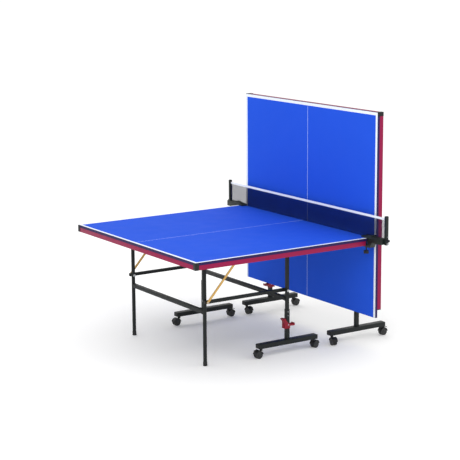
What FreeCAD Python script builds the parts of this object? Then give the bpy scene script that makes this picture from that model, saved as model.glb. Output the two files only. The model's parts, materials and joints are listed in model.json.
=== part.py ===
import FreeCAD, Part
import os
import re
import Sketcher

# A roll-away ping pong table in the playback position. It is two identical trolleys.
# Each carries half of the table on a parallelogram of posts, link bars and legs.
# The near half lies flat, with the net clamped on it. The far half stands upright behind the net.
#
# Each half is drawn flat in its own frame: +X to the net, +Z up, and the fold pivots at X = 0.

SIZES = {
    # the tops
    "half_length": (1370, "net line to end line"),
    "top_width": (1525, "side line to side line"),
    "top_height": (760, "floor to playing surface"),
    "panel_depth": (18, "thickness of the board"),
    "panel_bevel": (0.8, "bevel round the board"),
    "rail_depth": (30, "apron rail below the board"),
    "rail_flange": (18, "flange of an apron rail"),
    "rail_wall": (2, "sheet of the apron rails"),
    "rail_setback": (57, "net edge to the end of a side rail"),
    "cap_reach": (25, "corner cap along each edge"),
    "cap_proud": (2, "corner cap outside the board"),
    "plug_depth": (5, "plug in the end of a rail"),
    "fold_flange": (15, "flange of a fold bracket, out to a long frame rail"),
    "beam_rail_width": (30, "width of a long frame rail"),
    "beam_rail_depth": (25, "depth of a long frame rail"),
    "strap_width": (40, "width of a cross strap"),
    "strap_depth": (8, "depth of a cross strap"),
    "strap_inset": (70, "net edge to the first strap"),
    "strap_net_side": (200, "fold pivots to the second strap, towards the net"),
    "strap_end_side": (430, "fold pivots to the third strap, away from the net"),
    "strap_end_inset": (100, "end line to the last strap"),
    "rail_net_inset": (15, "net edge to the end of a long frame rail"),
    "rail_end_gap": (2, "end apron rail to a long frame rail"),
    "channel_wall": (1.5, "sheet of the frame channels"),
    # the parallelogram
    "folded_clearance": (210, "floor to the net edge of a folded half"),
    "strap_gap": (1.5, "cross straps of a folded half to its posts and legs"),
    "link_height": (425, "floor to the lower pivots"),
    "leg_reach": (605, "fold pivots to the legs"),
    "leg_y": (457, "centre plane to a leg"),
    "leg_width": (25, "diameter of a leg tube"),
    "leg_wall": (1.5, "wall of a leg tube"),
    "leg_bar_height": (354.5, "floor to the leg crossbar"),
    "foot_wall": (2, "rubber round the leg tube"),
    "foot_height": (30, "height of a leg foot"),
    "foot_sole": (6, "rubber under the leg tube"),
    "link_gap": (2.5, "leg tube to a link bar"),
    "link_width": (20, "side of a link bar"),
    "link_end": (14, "link bar past its pivots"),
    "brace_gap": (2, "link bar to a brace"),
    "brace_width": (15, "width of a brace"),
    "brace_wall": (4, "thickness of a brace"),
    "brace_run": (267.5, "leg to the locked end of a brace"),
    "pivot_radius": (5, "every main pivot bolt"),
    "pivot_gap": (0.05, "radial running clearance of a pivot"),
    "head_radius": (8.5, "head of a pivot bolt"),
    "head_depth": (4, "height of a bolt head"),
    "side_gap": (0.5, "play between parts along a pivot"),
    # brackets under a top
    "plate_wall": (3, "bracket plate"),
    "fold_plate_gap": (4.5, "post to its bracket plate"),
    "fold_plate_length": (60, "fold bracket along the table"),
    "clevis_wall": (2.5, "plate of a leg clevis"),
    "clevis_gap": (1, "leg tube to a clevis plate"),
    "clevis_length": (56, "leg clevis along the table"),
    "slot_plate_gap": (0.6, "brace to its slotted plate"),
    "slot_width": (9, "slot for the brace stud"),
    "slot_margin": (12, "slotted plate past the slot"),
    "eye_radius": (14, "bracket metal round a pivot"),
    # the trolley
    "slot_post_gap": (0.9, "slotted plate to a post"),
    "trolley_gap": (103, "foot beam to foot beam in the playback stance"),
    "beam_width": (45, "width of a foot beam"),
    "beam_depth": (30, "depth of a foot beam"),
    "beam_wall": (2, "wall of a foot beam"),
    "end_cap": (10, "cap on the end of a foot beam"),
    "end_cap_round": (7, "rounding of that cap"),
    "sleeve_gap": (0.2, "upper tube to the inside of the lower tube"),
    "sleeve_wall": (2.3, "wall of a lower post tube"),
    "sleeve_top": (300, "floor to the top of a lower post tube"),
    "post_width": (20, "side of an upper post tube"),
    "post_wall": (1.8, "wall of an upper post tube"),
    "post_overlap": (60, "upper tube inside the lower tube"),
    "post_over": (15, "upper tube above the fold pivot"),
    "base_bar_height": (369, "floor to the base crossbar"),
    "bar_width": (25, "side of a crossbar"),
    "bar_wall": (1.5, "wall of a crossbar"),
    # casters
    "caster_neck": (10.8, "top of the hood to the foot beam"),
    "stem_inset": (30, "end of a foot beam to a caster stem"),
    "stem_radius": (5, "caster stem"),
    "stem_rise": (20, "stem inside the foot beam"),
    "stem_boss": (10, "radius of the boss under the beam"),
    "boss_gap": (0.3, "boss to the foot beam"),
    "boss_root": (3, "boss inside the hood"),
    "wheel_radius": (26, "caster wheel"),
    "wheel_inner": (5, "centre plane to a wheel's inner face"),
    "wheel_width": (13, "width of one wheel"),
    "wheel_bevel": (1.5, "bevel on a wheel's inner rim"),
    "wheel_shoulder": (2.5, "slope on a wheel's outer rim"),
    "wheel_dish": (1, "outer face of a wheel behind its full width"),
    "hub_wall": (1, "wheel's full width to the end of the axle"),
    "hub_gap": (0.3, "end of the axle to its hub cover"),
    "hub_over": (0.5, "hub cover outside the wheel's full width"),
    "trail": (22, "stem to axle"),
    "hood_gap": (0.8, "wheel to hood"),
    "hood_wall": (2.4, "wall of the hood"),
    "hood_side": (1.5, "hood outside each wheel"),
    "web_width": (8, "web between the wheels"),
    "web_fall": (8, "axle to the foot of the web"),
    "arch_lift": (3, "axle to the foot of the hood"),
    "axle_radius": (3, "caster axle"),
    "lug_y": (9.5, "centre plane to a brake lug"),
    "lug_wall": (3, "thickness of a brake lug"),
    "lug_width": (8, "length of a brake lug"),
    "lug_fall": (6.5, "brake pivot to the foot of a lug"),
    "brake_ahead": (6, "axle to the brake pivot"),
    "brake_lift": (3.3, "top of the hood up to the brake pivot"),
    "brake_radius": (3, "eye of the brake lever"),
    "brake_pin": (1.5, "radius of the brake pin"),
    "pedal_reach": (26, "brake pivot to the end of the pedal"),
    "pedal_fall": (6, "fall of the pedal to its end"),
    "pedal_wall": (3, "thickness of the pedal"),
    "pedal_gap": (0.3, "pedal to a brake lug"),
    "pedal_lean": (1, "slope of the pedal's end"),
    # safety latch
    "latch_drop": (14, "net edge of a folded half to the latch pivot below it"),
    "latch_wall": (2.5, "wall of the latch housing"),
    "latch_rise": (8, "latch housing above its pivot"),
    "latch_fall": (26, "latch housing below its pivot"),
    "latch_pin": (3, "radius of the latch pin"),
    "latch_gap": (1, "latch housing to the side plates of its lever"),
    "handle_gap": (6, "latch housing to the handle"),
    "handle_reach": (24, "depth of the handle's top"),
    "handle_wall": (7, "depth of the handle's lower end"),
    "handle_rise": (44, "top of the handle above the pivot"),
    "handle_fall": (24, "foot of the handle below the pivot"),
    "hook_reach": (50, "post centre to the tip of the hook"),
    "hook_rise": (7, "tip of the hook above the pivot"),
    "hook_depth": (10, "underside of the hook below the pivot"),
    "hook_nose": (9, "solid nose of the hook"),
    "lever_half": (8, "half the depth of the lever at its pivot"),
    "handle_taper": (22, "top of the handle down to its lower end's depth"),
    # the playback stance
    "far_offset": (70, "net line to the far posts"),
    # net set
    "net_offset": (10, "net plane behind the net line"),
    "net_rise": (152.5, "playing surface to the top of the net"),
    "net_lift": (2, "playing surface to the bottom of the net"),
    "net_wall": (1.4, "thickness of the netting"),
    "tape_height": (15, "height of the top tape"),
    "tape_width": (4.8, "width of the top tape"),
    "tape_wall": (0.9, "cloth of the top tape"),
    "tape_room": (4, "top of the netting below the tape's crease"),
    "cord_radius": (1, "tension cord in the tape"),
    "net_overhang": (152.5, "side line to a net post"),
    "net_post_width": (22, "side of a net post"),
    "net_post_over": (14, "net post above the net"),
    "net_post_under": (24, "net post below the playing surface"),
    "net_gap": (1, "netting to a net post"),
    "jaw_reach": (62.5, "side line to the jaws' tips"),
    "clamp_width": (44, "clamp along the side line"),
    "clamp_inset": (3, "net edge to the clamp"),
    "clamp_side_gap": (0.8, "board edge to the clamp"),
    "jaw_wall": (9, "upper jaw at its tip"),
    "jaw_root": (17, "upper jaw at the board's edge"),
    "jaw_room": (30, "board to the lower jaw"),
    "lower_jaw_wall": (12, "thickness of the lower jaw"),
    "arm_drop": (22, "playing surface to the arm's underside"),
    "arm_rise": (16, "playing surface to the arm's top"),
    "arm_start": (50, "board edge to the level part of the arm"),
    "arm_crown": (8, "crown of the arm above its level part"),
    "arm_crown_run": (10, "crown before the level part"),
    "jaw_toe": (24, "board edge to the foot of the arm's web"),
    "net_clear": (1, "netting to the clamps"),
    "screw_inset": (34.5, "side line to a clamp screw"),
    "screw_radius": (4, "clamp screw"),
    "pad_radius": (11, "pad of a clamp screw"),
    "pad_depth": (5, "thickness of that pad"),
    "pad_gap": (0.4, "board to the pad"),
    "knob_radius": (15, "knob of a clamp screw"),
    "knob_height": (20, "height of that knob"),
    "knob_room": (28, "lower jaw to the knob of its screw"),
    "lobe_radius": (5, "lobe of a knob"),
    "lobe_out": (13, "axis to the middle of a lobe"),
    "cord_knob_radius": (9, "tension knob"),
    "cord_knob_depth": (16, "depth of the tension knob"),
    "cord_knob_height": (6, "playing surface to the tension knob"),
    "cord_knob_pin": (3, "pin of the tension knob"),
    "cord_knob_gap": (0.3, "net post to the tension knob"),
    "cord_knob_root": (7, "pin inside the net post"),
    "past": (1, "a cutter past the face it cuts"),
    "anchor_radius": (6, "buttons below the tension knob"),
    "anchor_drop": (20, "tension knob to those buttons"),
    "cord_hook_lift": (24, "tension knob up to the cord hook"),
    "cord_hook_reach": (9, "net post to the upright of the hook"),
    "cord_hook_rise": (12, "height of the hook"),
    "cord_hook_radius": (2.2, "radius of the hook"),
}

# Formulas on those sizes, each written once.
RULES = {
    "panel_under": "top_height - panel_depth",
    "rail_under": "panel_under - rail_depth",
    "sleeve_width": "post_width + 2 * sleeve_gap + 2 * sleeve_wall",
    "pivot_drop": "panel_depth + strap_depth + strap_gap + max(sleeve_width; leg_width) / 2",
    "fold_height": "top_height - pivot_drop",
    "fold_setback": "fold_height - folded_clearance",
    "side_edge": "top_width / 2",
    "net_edge": "fold_setback",
    "end_edge": "fold_setback - half_length",
    "beam_length": "far_offset + fold_setback - trolley_gap",
    "stem_pitch": "beam_length - 2 * stem_inset",
    "caster_reach": "stem_pitch / 2 + brake_x + pedal_reach + pedal_lean",
    "net_line": "(half_length + cap_proud - far_offset - caster_reach) / 2",
    "near_x": "net_line - fold_setback",
    "far_x": "net_line + far_offset",
    "brace_length": "sqrt(brace_run ^ 2 + (fold_height - link_height) ^ 2)",
    "brace_angle": "atan(brace_run / (fold_height - link_height))",
    "bolt_hole": "pivot_radius + pivot_gap",
    "leg_in": "leg_y - leg_width / 2",
    "leg_out": "leg_y + leg_width / 2",
    "foot_width": "leg_width + 2 * foot_wall",
    "link_in": "leg_out + link_gap",
    "link_out": "link_in + link_width",
    "brace_in": "link_out + brace_gap",
    "brace_out": "brace_in + brace_wall",
    "slot_plate_y": "brace_out + slot_plate_gap",
    "post_in": "slot_plate_y + plate_wall + slot_post_gap",
    "post_out": "post_in + post_width",
    "track": "post_in + post_width / 2",
    "fold_plate_y": "post_out + fold_plate_gap",
    "beam_rail_in": "fold_plate_y + plate_wall + fold_flange",
    "beam_rail_y": "beam_rail_in + beam_rail_width / 2",
    "slot_start": "brace_run - leg_reach",
    "slot_end": "link_drop + brace_length - leg_reach",
    "link_drop": "fold_height - link_height",
    "hood_radius": "wheel_radius + hood_gap + hood_wall",
    "hood_top": "wheel_radius + hood_radius",
    "caster_height": "hood_top + caster_neck",
    "beam_top": "caster_height + beam_depth",
    "post_foot": "sleeve_top - post_overlap",
    "post_top": "fold_height + post_over",
    "stem_top": "caster_height + stem_rise",
    "stem_hole": "stem_radius + pivot_gap",
    "boss_foot": "hood_top - hood_wall",
    "boss_top": "caster_height - boss_gap",
    "wheel_outer": "wheel_inner + wheel_width",
    "hood_width": "2 * (wheel_outer + hood_side)",
    "brake_x": "trail + brake_ahead",
    "brake_height": "hood_top + brake_lift",
    "latch_height": "folded_clearance - latch_drop",
    "latch_half": "sleeve_width / 2 + latch_wall",
    "latch_plate": "latch_half + latch_gap",
    "handle_x": "latch_half + handle_gap",
    "net_x": "fold_setback - net_offset",
    "net_top": "top_height + net_rise",
    "tape_foot": "net_top - tape_height",
    "net_post_y": "side_edge + net_overhang",
    "net_end": "net_post_y - net_post_width / 2",
    "clamp_x": "net_edge - clamp_inset - clamp_width / 2",
    "clamp_out": "side_edge + clamp_side_gap",
    "clamp_inner": "side_edge - jaw_reach",
    "screw_y": "side_edge - screw_inset",
    "jaw_top": "panel_under - jaw_room",
    "jaw_under": "jaw_top - lower_jaw_wall",
    "knob_top": "jaw_under - knob_room",
    "knob_z": "top_height + cord_knob_height",
    "net_post_out": "net_post_y + net_post_width / 2",
    "arm_top": "top_height + arm_rise",
    "crown_y": "side_edge + arm_start - arm_crown_run",
}

doc = FreeCAD.newDocument("ping_pong_table")
sheet = doc.addObject("Spreadsheet::Sheet", "dims")
for row, (alias, (value, note)) in enumerate(SIZES.items(), start=1):
    sheet.set(f"A{row}", note)
    sheet.set(f"B{row}", str(value))
    sheet.setAlias(f"B{row}", alias)
doc.recompute()


# ---- formulas and placements ----

def formula(text):
    """An expression on the sheet from text that uses bare names of sizes and rules."""

    def swap(match):
        name = match.group(0)
        if name in RULES:
            return f"({formula(RULES[name])})"
        return f"dims.{name}" if name in SIZES else name

    return re.sub(r"[A-Za-z_]\w*", swap, str(text))


def number(text):
    value = sheet.evalExpression(formula(text))
    return float(getattr(value, "Value", value))


def bind(thing, **sizes):
    for name, text in sizes.items():
        thing.setExpression(name, formula(text))
    return thing


def moved(x=0, y=0, z=0, axis=(0, 0, 1), angle=0):
    """Text of a placement: a turn about an axis through the origin, then a shift."""
    turn = f"rotation(vector({axis[0]}; {axis[1]}; {axis[2]}); {angle})"
    return f"placement(vector({x}; {y}; {z}); {turn})"


def turned_at(x, z, angle):
    """Text of a turn about the cross axis through (x, z)."""
    return moved(x, 0, z, (0, 1, 0), angle) + " * " + moved(f"-({x})", 0, f"-({z})")


def place(thing, text):
    thing.setExpression("Placement", formula(text))
    return thing


# ---- solids ----

def box(x, y, z):
    """A box between two limits on each axis."""
    solid = doc.addObject("Part::Box", "box")
    spans = [f"({high}) - ({low})" for low, high in (x, y, z)]
    bind(solid, Length=spans[0], Width=spans[1], Height=spans[2])
    return place(solid, moved(x[0], y[0], z[0]))


def tube(x, y, z, wall, along):
    """A square tube: a box with a bore along one axis."""
    inner = [(f"({low}) + {wall}", f"({high}) - {wall}") for low, high in (x, y, z)]
    inner["xyz".index(along)] = (x, y, z)["xyz".index(along)]
    return cut(box(x, y, z), box(*inner))


TURNS = {"x": ((0, 1, 0), 90), "y": ((1, 0, 0), -90), "z": ((0, 0, 1), 0)}


def rod(radius, start, length, along):
    """A round rod from a start point."""
    solid = doc.addObject("Part::Cylinder", "rod")
    bind(solid, Radius=radius, Height=length)
    return place(solid, moved(*start, *TURNS[along]))


def pipe(radius, wall, start, length, along):
    return cut(rod(radius, start, length, along), rod(f"{radius} - {wall}", start, length, along))


def cross_rod(radius, x, z, side, inner, outer):
    """A rod across the table on one side, between two distances from the centre plane."""
    start = inner if side > 0 else f"-({outer})"
    return rod(radius, (x, start, z), f"({outer}) - ({inner})", "y")


def side_span(side, inner, outer):
    return (inner, outer) if side > 0 else (f"-({outer})", f"-({inner})")


def cut(base, *tools):
    for tool in tools:
        result = doc.addObject("Part::Cut", "cut")
        result.Base = base
        result.Tool = tool
        base = result
    return base


def fuse(*pieces):
    result = doc.addObject("Part::MultiFuse", "fuse")
    result.Shapes = list(pieces)
    result.Refine = True
    return result


def group(*pieces):
    result = doc.addObject("Part::Compound", "group")
    result.Links = list(pieces)
    return result


def polygon(sketch, points):
    """A closed outline whose corners are bound to formulas."""
    corners = [FreeCAD.Vector(number(x), number(y), 0) for x, y in points]
    lines = [
        sketch.addGeometry(Part.LineSegment(corner, corners[(i + 1) % len(corners)]), False)
        for i, corner in enumerate(corners)
    ]
    for i, line in enumerate(lines):
        sketch.addConstraint(Sketcher.Constraint("Coincident", line, 2, lines[(i + 1) % len(lines)], 1))
    for line, corner, point in zip(lines, corners, points):
        for kind, value, text in zip(("DistanceX", "DistanceY"), corner, point):
            index = sketch.addConstraint(Sketcher.Constraint(kind, -1, 1, line, 1, value))
            sketch.setExpression(f"Constraints[{index}]", formula(text))


def sketched(plane, outline, name):
    body = doc.addObject("PartDesign::Body", name)
    sketch = body.newObject("Sketcher::SketchObject", name + "_outline")
    origin = next(o for o in body.Origin.OriginFeatures if o.Role == plane)
    sketch.AttachmentSupport = (origin, [""])
    sketch.MapMode = "FlatFace"
    polygon(sketch, outline)
    return body, sketch


def pad(plane, outline, depth, name):
    """An outline padded to both sides of its plane."""
    body, sketch = sketched(plane, outline, name)
    feature = body.newObject("PartDesign::Pad", name + "_pad")
    feature.Profile = sketch
    feature.SideType = "Symmetric"
    bind(feature, Length=depth)
    doc.recompute()
    return body


def turning(outline, name):
    """An outline of (radius, y) points revolved about the Y axis."""
    body, sketch = sketched("XY_Plane", outline, name)
    feature = body.newObject("PartDesign::Revolution", name + "_revolution")
    feature.Profile = sketch
    feature.ReferenceAxis = (sketch, ["V_Axis"])
    feature.Angle = 360
    doc.recompute()
    return body


def round_edges(body, radius, wanted, kind="Fillet"):
    """Fillet or chamfer the edges of a body that a test picks out."""
    names = [f"Edge{i}" for i, edge in enumerate(body.Shape.Edges, start=1) if wanted(edge)]
    shaped = body.Tip
    feature = body.newObject("PartDesign::" + kind, kind.lower())
    feature.Base = (shaped, names)
    bind(feature, **{"Radius" if kind == "Fillet" else "Size": radius})
    doc.recompute()
    return body


def is_along(axis):
    """A test for straight edges that lie along one axis."""
    direction = FreeCAD.Vector(*[float(axis == name) for name in "xyz"])

    def test(edge):
        run = edge.Vertexes[-1].Point.sub(edge.Vertexes[0].Point)
        return len(edge.Vertexes) == 2 and run.cross(direction).Length < 1e-6 * run.Length

    return test


def channel(length, width, depth, wall, name):
    """A channel along X, open downwards, with its top at Z = 0."""
    outline = [
        (f"-({width}) / 2", 0),
        (f"-({width}) / 2", f"-({depth})"),
        (f"-({width}) / 2 + {wall}", f"-({depth})"),
        (f"-({width}) / 2 + {wall}", f"-({wall})"),
        (f"({width}) / 2 - {wall}", f"-({wall})"),
        (f"({width}) / 2 - {wall}", f"-({depth})"),
        (f"({width}) / 2", f"-({depth})"),
        (f"({width}) / 2", 0),
    ]
    return pad("YZ_Plane", outline, length, name)


SIDES = (-1, 1)
nodes = []


def node(name, placement, *pieces):
    """A named sub-part: one solid or a group of separate solids."""
    part = place(group(*pieces), placement)
    part.Label = name
    nodes.append(part)


# ---- the top of one half ----

def top_panel():
    outline = [
        ("end_edge", "-side_edge"),
        ("net_edge", "-side_edge"),
        ("net_edge", "side_edge"),
        ("end_edge", "side_edge"),
    ]
    body = pad("XY_Plane", outline, "panel_depth", "board")
    round_edges(body, "panel_bevel", lambda edge: not is_along("z")(edge), "Chamfer")
    return place(body, moved(z="top_height - panel_depth / 2"))


def apron_rail(length, name):
    """A sheet rail along X: web outwards at Y = 0, flanges inwards towards +Y, top at Z = 0."""
    outline = [
        (0, 0),
        ("rail_flange", 0),
        ("rail_flange", "-rail_wall"),
        ("rail_wall", "-rail_wall"),
        ("rail_wall", "rail_wall - rail_depth"),
        ("rail_flange", "rail_wall - rail_depth"),
        ("rail_flange", "-rail_depth"),
        (0, "-rail_depth"),
    ]
    return pad("YZ_Plane", outline, length, name)


def apron_rails():
    start = "(end_edge + cap_reach)"
    end = "(net_edge - rail_setback)"
    middle = f"({start} + {end}) / 2"
    rails = [
        place(apron_rail(f"{end} - {start}", "side_rail"), moved(middle, "-side_edge", "panel_under")),
        place(
            apron_rail(f"{end} - {start}", "side_rail"),
            moved(middle, "side_edge", "panel_under", angle=180),
        ),
        place(
            apron_rail("top_width - 2 * cap_reach", "end_rail"),
            moved("end_edge", 0, "panel_under", angle=-90),
        ),
    ]
    return rails


def corner_caps():
    """Caps round the end-line corners, and plugs in the net ends of the side rails."""
    caps = []
    for side in SIDES:
        x = ("end_edge - cap_proud", "end_edge + cap_reach")
        y = side_span(side, "side_edge - cap_reach", "side_edge + cap_proud")
        block = box(x, y, ("rail_under", "top_height - 2 * panel_bevel"))
        seat_y = side_span(side, "side_edge - 2 * cap_reach", "side_edge")
        seat = box(("end_edge", "end_edge + 2 * cap_reach"), seat_y, ("panel_under", "top_height + 1"))
        caps.append(cut(block, seat))
        plug_x = ("net_edge - rail_setback", "net_edge - rail_setback + plug_depth")
        plug_y = side_span(side, "side_edge - rail_flange", "side_edge")
        caps.append(box(plug_x, plug_y, ("rail_under", "panel_under")))
    return caps


STRAPS = (
    "net_edge - strap_inset",
    "strap_net_side",
    "-strap_end_side",
    "end_edge + strap_end_inset",
)


def subframe():
    """Two long channels outside the posts, and shallow straps that clear the folded legs."""
    end = "(end_edge + rail_flange + rail_end_gap)"
    net_side = "(net_edge - rail_net_inset)"
    length = f"{net_side} - {end}"
    middle = f"({net_side} + {end}) / 2"
    pieces = []
    for side in SIDES:
        rail = channel(length, "beam_rail_width", "beam_rail_depth", "channel_wall", "long_rail")
        pieces.append(place(rail, moved(middle, f"{side} * beam_rail_y", "panel_under")))
    for x in STRAPS:
        strap = channel("2 * beam_rail_in", "strap_width", "strap_depth", "channel_wall", "strap")
        pieces.append(place(strap, moved(x, 0, "panel_under", angle=90)))
    return pieces


def fold_bracket(side):
    """Plate and flange outside a post, with the fold bolt that runs in the post."""
    half = "fold_plate_length / 2"
    outline = [
        (f"-{half}", "panel_under"),
        (half, "panel_under"),
        ("eye_radius", "fold_height - eye_radius"),
        ("-eye_radius", "fold_height - eye_radius"),
    ]
    plate = pad("XZ_Plane", outline, "plate_wall", "fold_plate")
    place(plate, moved(y=f"{side} * (fold_plate_y + plate_wall / 2)"))
    flange = box(
        (f"-{half}", half),
        side_span(side, "fold_plate_y + plate_wall", "beam_rail_in"),
        ("panel_under - plate_wall", "panel_under"),
    )
    outside = "fold_plate_y + plate_wall"
    hole = cross_rod("bolt_hole", 0, "fold_height", side, "fold_plate_y - past", f"{outside} + past")
    bolt = fuse(
        cross_rod("pivot_radius", 0, "fold_height", side, "post_in + side_gap", outside),
        cross_rod("head_radius", 0, "fold_height", side, outside, f"{outside} + head_depth"),
    )
    return [cut(fuse(plate, flange), hole), bolt]


def leg_clevis(side):
    """Two plates under a base plate, and the pin that the top of a leg turns on."""
    half = "clevis_length / 2"
    inner = "leg_in - clevis_gap - clevis_wall"
    outer = "leg_out + clevis_gap"
    outside = f"{outer} + clevis_wall"
    x = "-leg_reach"
    base = box(
        (f"{x} - {half}", f"{x} + {half}"),
        side_span(side, inner, outside),
        ("panel_under - clevis_wall", "panel_under"),
    )
    plates = [
        box(
            (f"{x} - eye_radius", f"{x} + eye_radius"),
            side_span(side, edge, f"{edge} + clevis_wall"),
            ("fold_height - eye_radius", "panel_under"),
        )
        for edge in (inner, outer)
    ]
    hole = cross_rod("bolt_hole", x, "fold_height", side, f"{inner} - past", f"{outside} + past")
    pin = fuse(
        cross_rod("pivot_radius", x, "fold_height", side, inner, outside),
        cross_rod("head_radius", x, "fold_height", side, f"{inner} - plate_wall", inner),
        cross_rod("head_radius", x, "fold_height", side, outside, f"{outside} + plate_wall"),
    )
    return [cut(fuse(base, *plates), hole), pin]


def slot_plate(side):
    """The hanging plate whose slot guides the stud of a brace from locked to folded."""
    start = "slot_start - slot_width / 2 - slot_margin"
    end = "slot_end + slot_width / 2 + slot_margin"
    far_face = "slot_plate_y + plate_wall"
    plate = box(
        (start, end),
        side_span(side, "slot_plate_y", far_face),
        ("fold_height - slot_margin", "panel_under"),
    )
    slot = fuse(
        box(
            ("slot_start", "slot_end"),
            side_span(side, "slot_plate_y - past", f"{far_face} + past"),
            ("fold_height - slot_width / 2", "fold_height + slot_width / 2"),
        ),
        *[
            cross_rod("slot_width / 2", x, "fold_height", side, "slot_plate_y - past", f"{far_face} + past")
            for x in ("slot_start", "slot_end")
        ],
    )
    return cut(plate, slot)


def brackets():
    pieces = []
    for side in SIDES:
        pieces += fold_bracket(side)
        pieces += leg_clevis(side)
        pieces.append(slot_plate(side))
    return pieces


# ---- legs, link bars and braces ----

def leg_frame():
    """Two leg tubes, the bar between them, and the lower pins."""
    pieces = []
    for side in SIDES:
        leg = pipe(
            "leg_width / 2",
            "leg_wall",
            ("-leg_reach", f"{side} * leg_y", "foot_sole"),
            "fold_height + leg_width / 2 - foot_sole",
            "z",
        )
        holes = [
            cross_rod("bolt_hole", "-leg_reach", z, side, "leg_in - past", "leg_out + past")
            for z in ("fold_height", "link_height")
        ]
        pieces.append(cut(leg, *holes))
        centre = ("-leg_reach", "link_height", side)
        pieces.append(
            fuse(
                cross_rod("pivot_radius", *centre, "leg_in", "brace_out"),
                cross_rod("head_radius", *centre, "leg_in - head_depth", "leg_in"),
                cross_rod("head_radius", *centre, "leg_out", "link_in - side_gap"),
            )
        )
    half = "bar_width / 2"
    bar = tube(
        (f"-leg_reach - {half}", f"-leg_reach + {half}"),
        ("-leg_y", "leg_y"),
        (f"leg_bar_height - {half}", f"leg_bar_height + {half}"),
        "bar_wall",
        "y",
    )
    foot = "leg_bar_height - bar_width"
    ends = [
        rod("leg_width / 2", ("-leg_reach", f"{side} * leg_y", foot), "2 * bar_width", "z")
        for side in SIDES
    ]
    return pieces + [cut(bar, *ends)]


def leg_feet():
    """Rubber ferrules, each with a sole under its leg tube."""
    feet = []
    for side in SIDES:
        centre = ("-leg_reach", f"{side} * leg_y")
        shell = rod("foot_width / 2", (*centre, 0), "foot_height", "z")
        seat = rod("leg_width / 2", (*centre, "foot_sole"), "foot_height", "z")
        feet.append(cut(shell, seat))
    return feet


def link_bars():
    bars = []
    for side in SIDES:
        half = "link_width / 2"
        bar = tube(
            ("-leg_reach - link_end", "link_end"),
            side_span(side, "link_in", "link_out"),
            (f"link_height - {half}", f"link_height + {half}"),
            "bar_wall",
            "x",
        )
        holes = [
            cross_rod("bolt_hole", x, "link_height", side, "link_in - past", "link_out + past")
            for x in ("-leg_reach", "0")
        ]
        bars.append(cut(bar, *holes))
    return bars


def braces():
    """Flat bars drawn up the Z axis from their lower pivot, each with a stud at its upper end."""
    bars = []
    for side in SIDES:
        span = side_span(side, "brace_in", "brace_out")
        bar = fuse(
            box(("-brace_width / 2", "brace_width / 2"), span, (0, "brace_length")),
            *[
                cross_rod("brace_width / 2", 0, z, side, "brace_in", "brace_out")
                for z in ("0", "brace_length")
            ],
            cross_rod("pivot_radius", 0, "brace_length", side, "link_out + side_gap", "brace_in"),
        )
        hole = cross_rod("bolt_hole", 0, 0, side, "brace_in - past", "brace_out + past")
        bars.append(cut(bar, hole))
    return bars


# ---- the trolley of one half ----

def foot_beams():
    pieces = []
    for side in SIDES:
        middle = f"{side} * track"
        beam = tube(
            ("end_cap - beam_length / 2", "beam_length / 2 - end_cap"),
            (f"{middle} - beam_width / 2", f"{middle} + beam_width / 2"),
            ("caster_height", "beam_top"),
            "beam_wall",
            "x",
        )
        holes = [
            rod(
                "stem_hole",
                (f"{end} * stem_pitch / 2", middle, "caster_height - past"),
                "beam_wall + 2 * past",
                "z",
            )
            for end in SIDES
        ]
        pieces.append(cut(beam, *holes))
    return pieces


def beam_caps():
    caps = []
    for side in SIDES:
        for end in SIDES:
            outline = [
                ("0", "-beam_width / 2"),
                ("end_cap", "-beam_width / 2"),
                ("end_cap", "beam_width / 2"),
                ("0", "beam_width / 2"),
            ]
            cap = pad("XY_Plane", outline, "beam_depth", "beam_cap")
            outer = number("end_cap")
            round_edges(cap, "end_cap_round", lambda edge: all(v.X > outer / 2 for v in edge.Vertexes))
            place(
                cap,
                moved(
                    f"{end} * (beam_length / 2 - end_cap)",
                    f"{side} * track",
                    "caster_height + beam_depth / 2",
                    angle=0 if end > 0 else 180,
                ),
            )
            caps.append(cap)
    return caps


def posts():
    """Lower square tubes with narrower tubes telescoped into them."""
    pieces = []
    for side in SIDES:
        middle = f"{side} * track"
        for width, wall, foot, head in (
            ("sleeve_width", "sleeve_wall", "beam_top", "sleeve_top"),
            ("post_width", "post_wall", "post_foot", "post_top"),
        ):
            post = tube(
                (f"-{width} / 2", f"{width} / 2"),
                (f"{middle} - {width} / 2", f"{middle} + {width} / 2"),
                (foot, head),
                wall,
                "z",
            )
            if width == "post_width":
                holes = [
                    cross_rod("bolt_hole", 0, z, side, "post_in - past", "post_out + past")
                    for z in ("fold_height", "link_height")
                ]
                post = cut(post, *holes)
            pieces.append(post)
    return pieces


def base_crossbar():
    half = "bar_width / 2"
    return tube(
        (f"-{half}", half),
        ("-post_in", "post_in"),
        (f"base_bar_height - {half}", f"base_bar_height + {half}"),
        "bar_wall",
        "y",
    )


def link_bolts():
    """Bolts through the posts that the link bars turn on, with a spacer and a nut."""
    bolts = []
    inside = "link_in - side_gap"
    for side in SIDES:
        centre = (0, "link_height", side)
        bolts.append(
            fuse(
                cross_rod("pivot_radius", *centre, inside, "post_out"),
                cross_rod("head_radius", *centre, f"{inside} - head_depth", inside),
                cross_rod("head_radius", *centre, "link_out + side_gap", "post_in"),
                cross_rod("head_radius", *centre, "post_out", "post_out + head_depth"),
            )
        )
    return bolts


# ---- the safety latch, on the post at -Y ----

def latch_housing():
    z = ("latch_height - latch_fall", "latch_height + latch_rise")
    shell = box(("-latch_half", "latch_half"), ("-latch_half", "latch_half"), z)
    inside = ("-sleeve_width / 2", "sleeve_width / 2")
    opening = box(inside, inside, z)
    reach = "latch_plate + latch_wall"
    pins = [cross_rod("latch_pin", 0, "latch_height", side, "latch_half", reach) for side in SIDES]
    return place(fuse(cut(shell, opening), *pins), moved(y="-track"))


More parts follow.
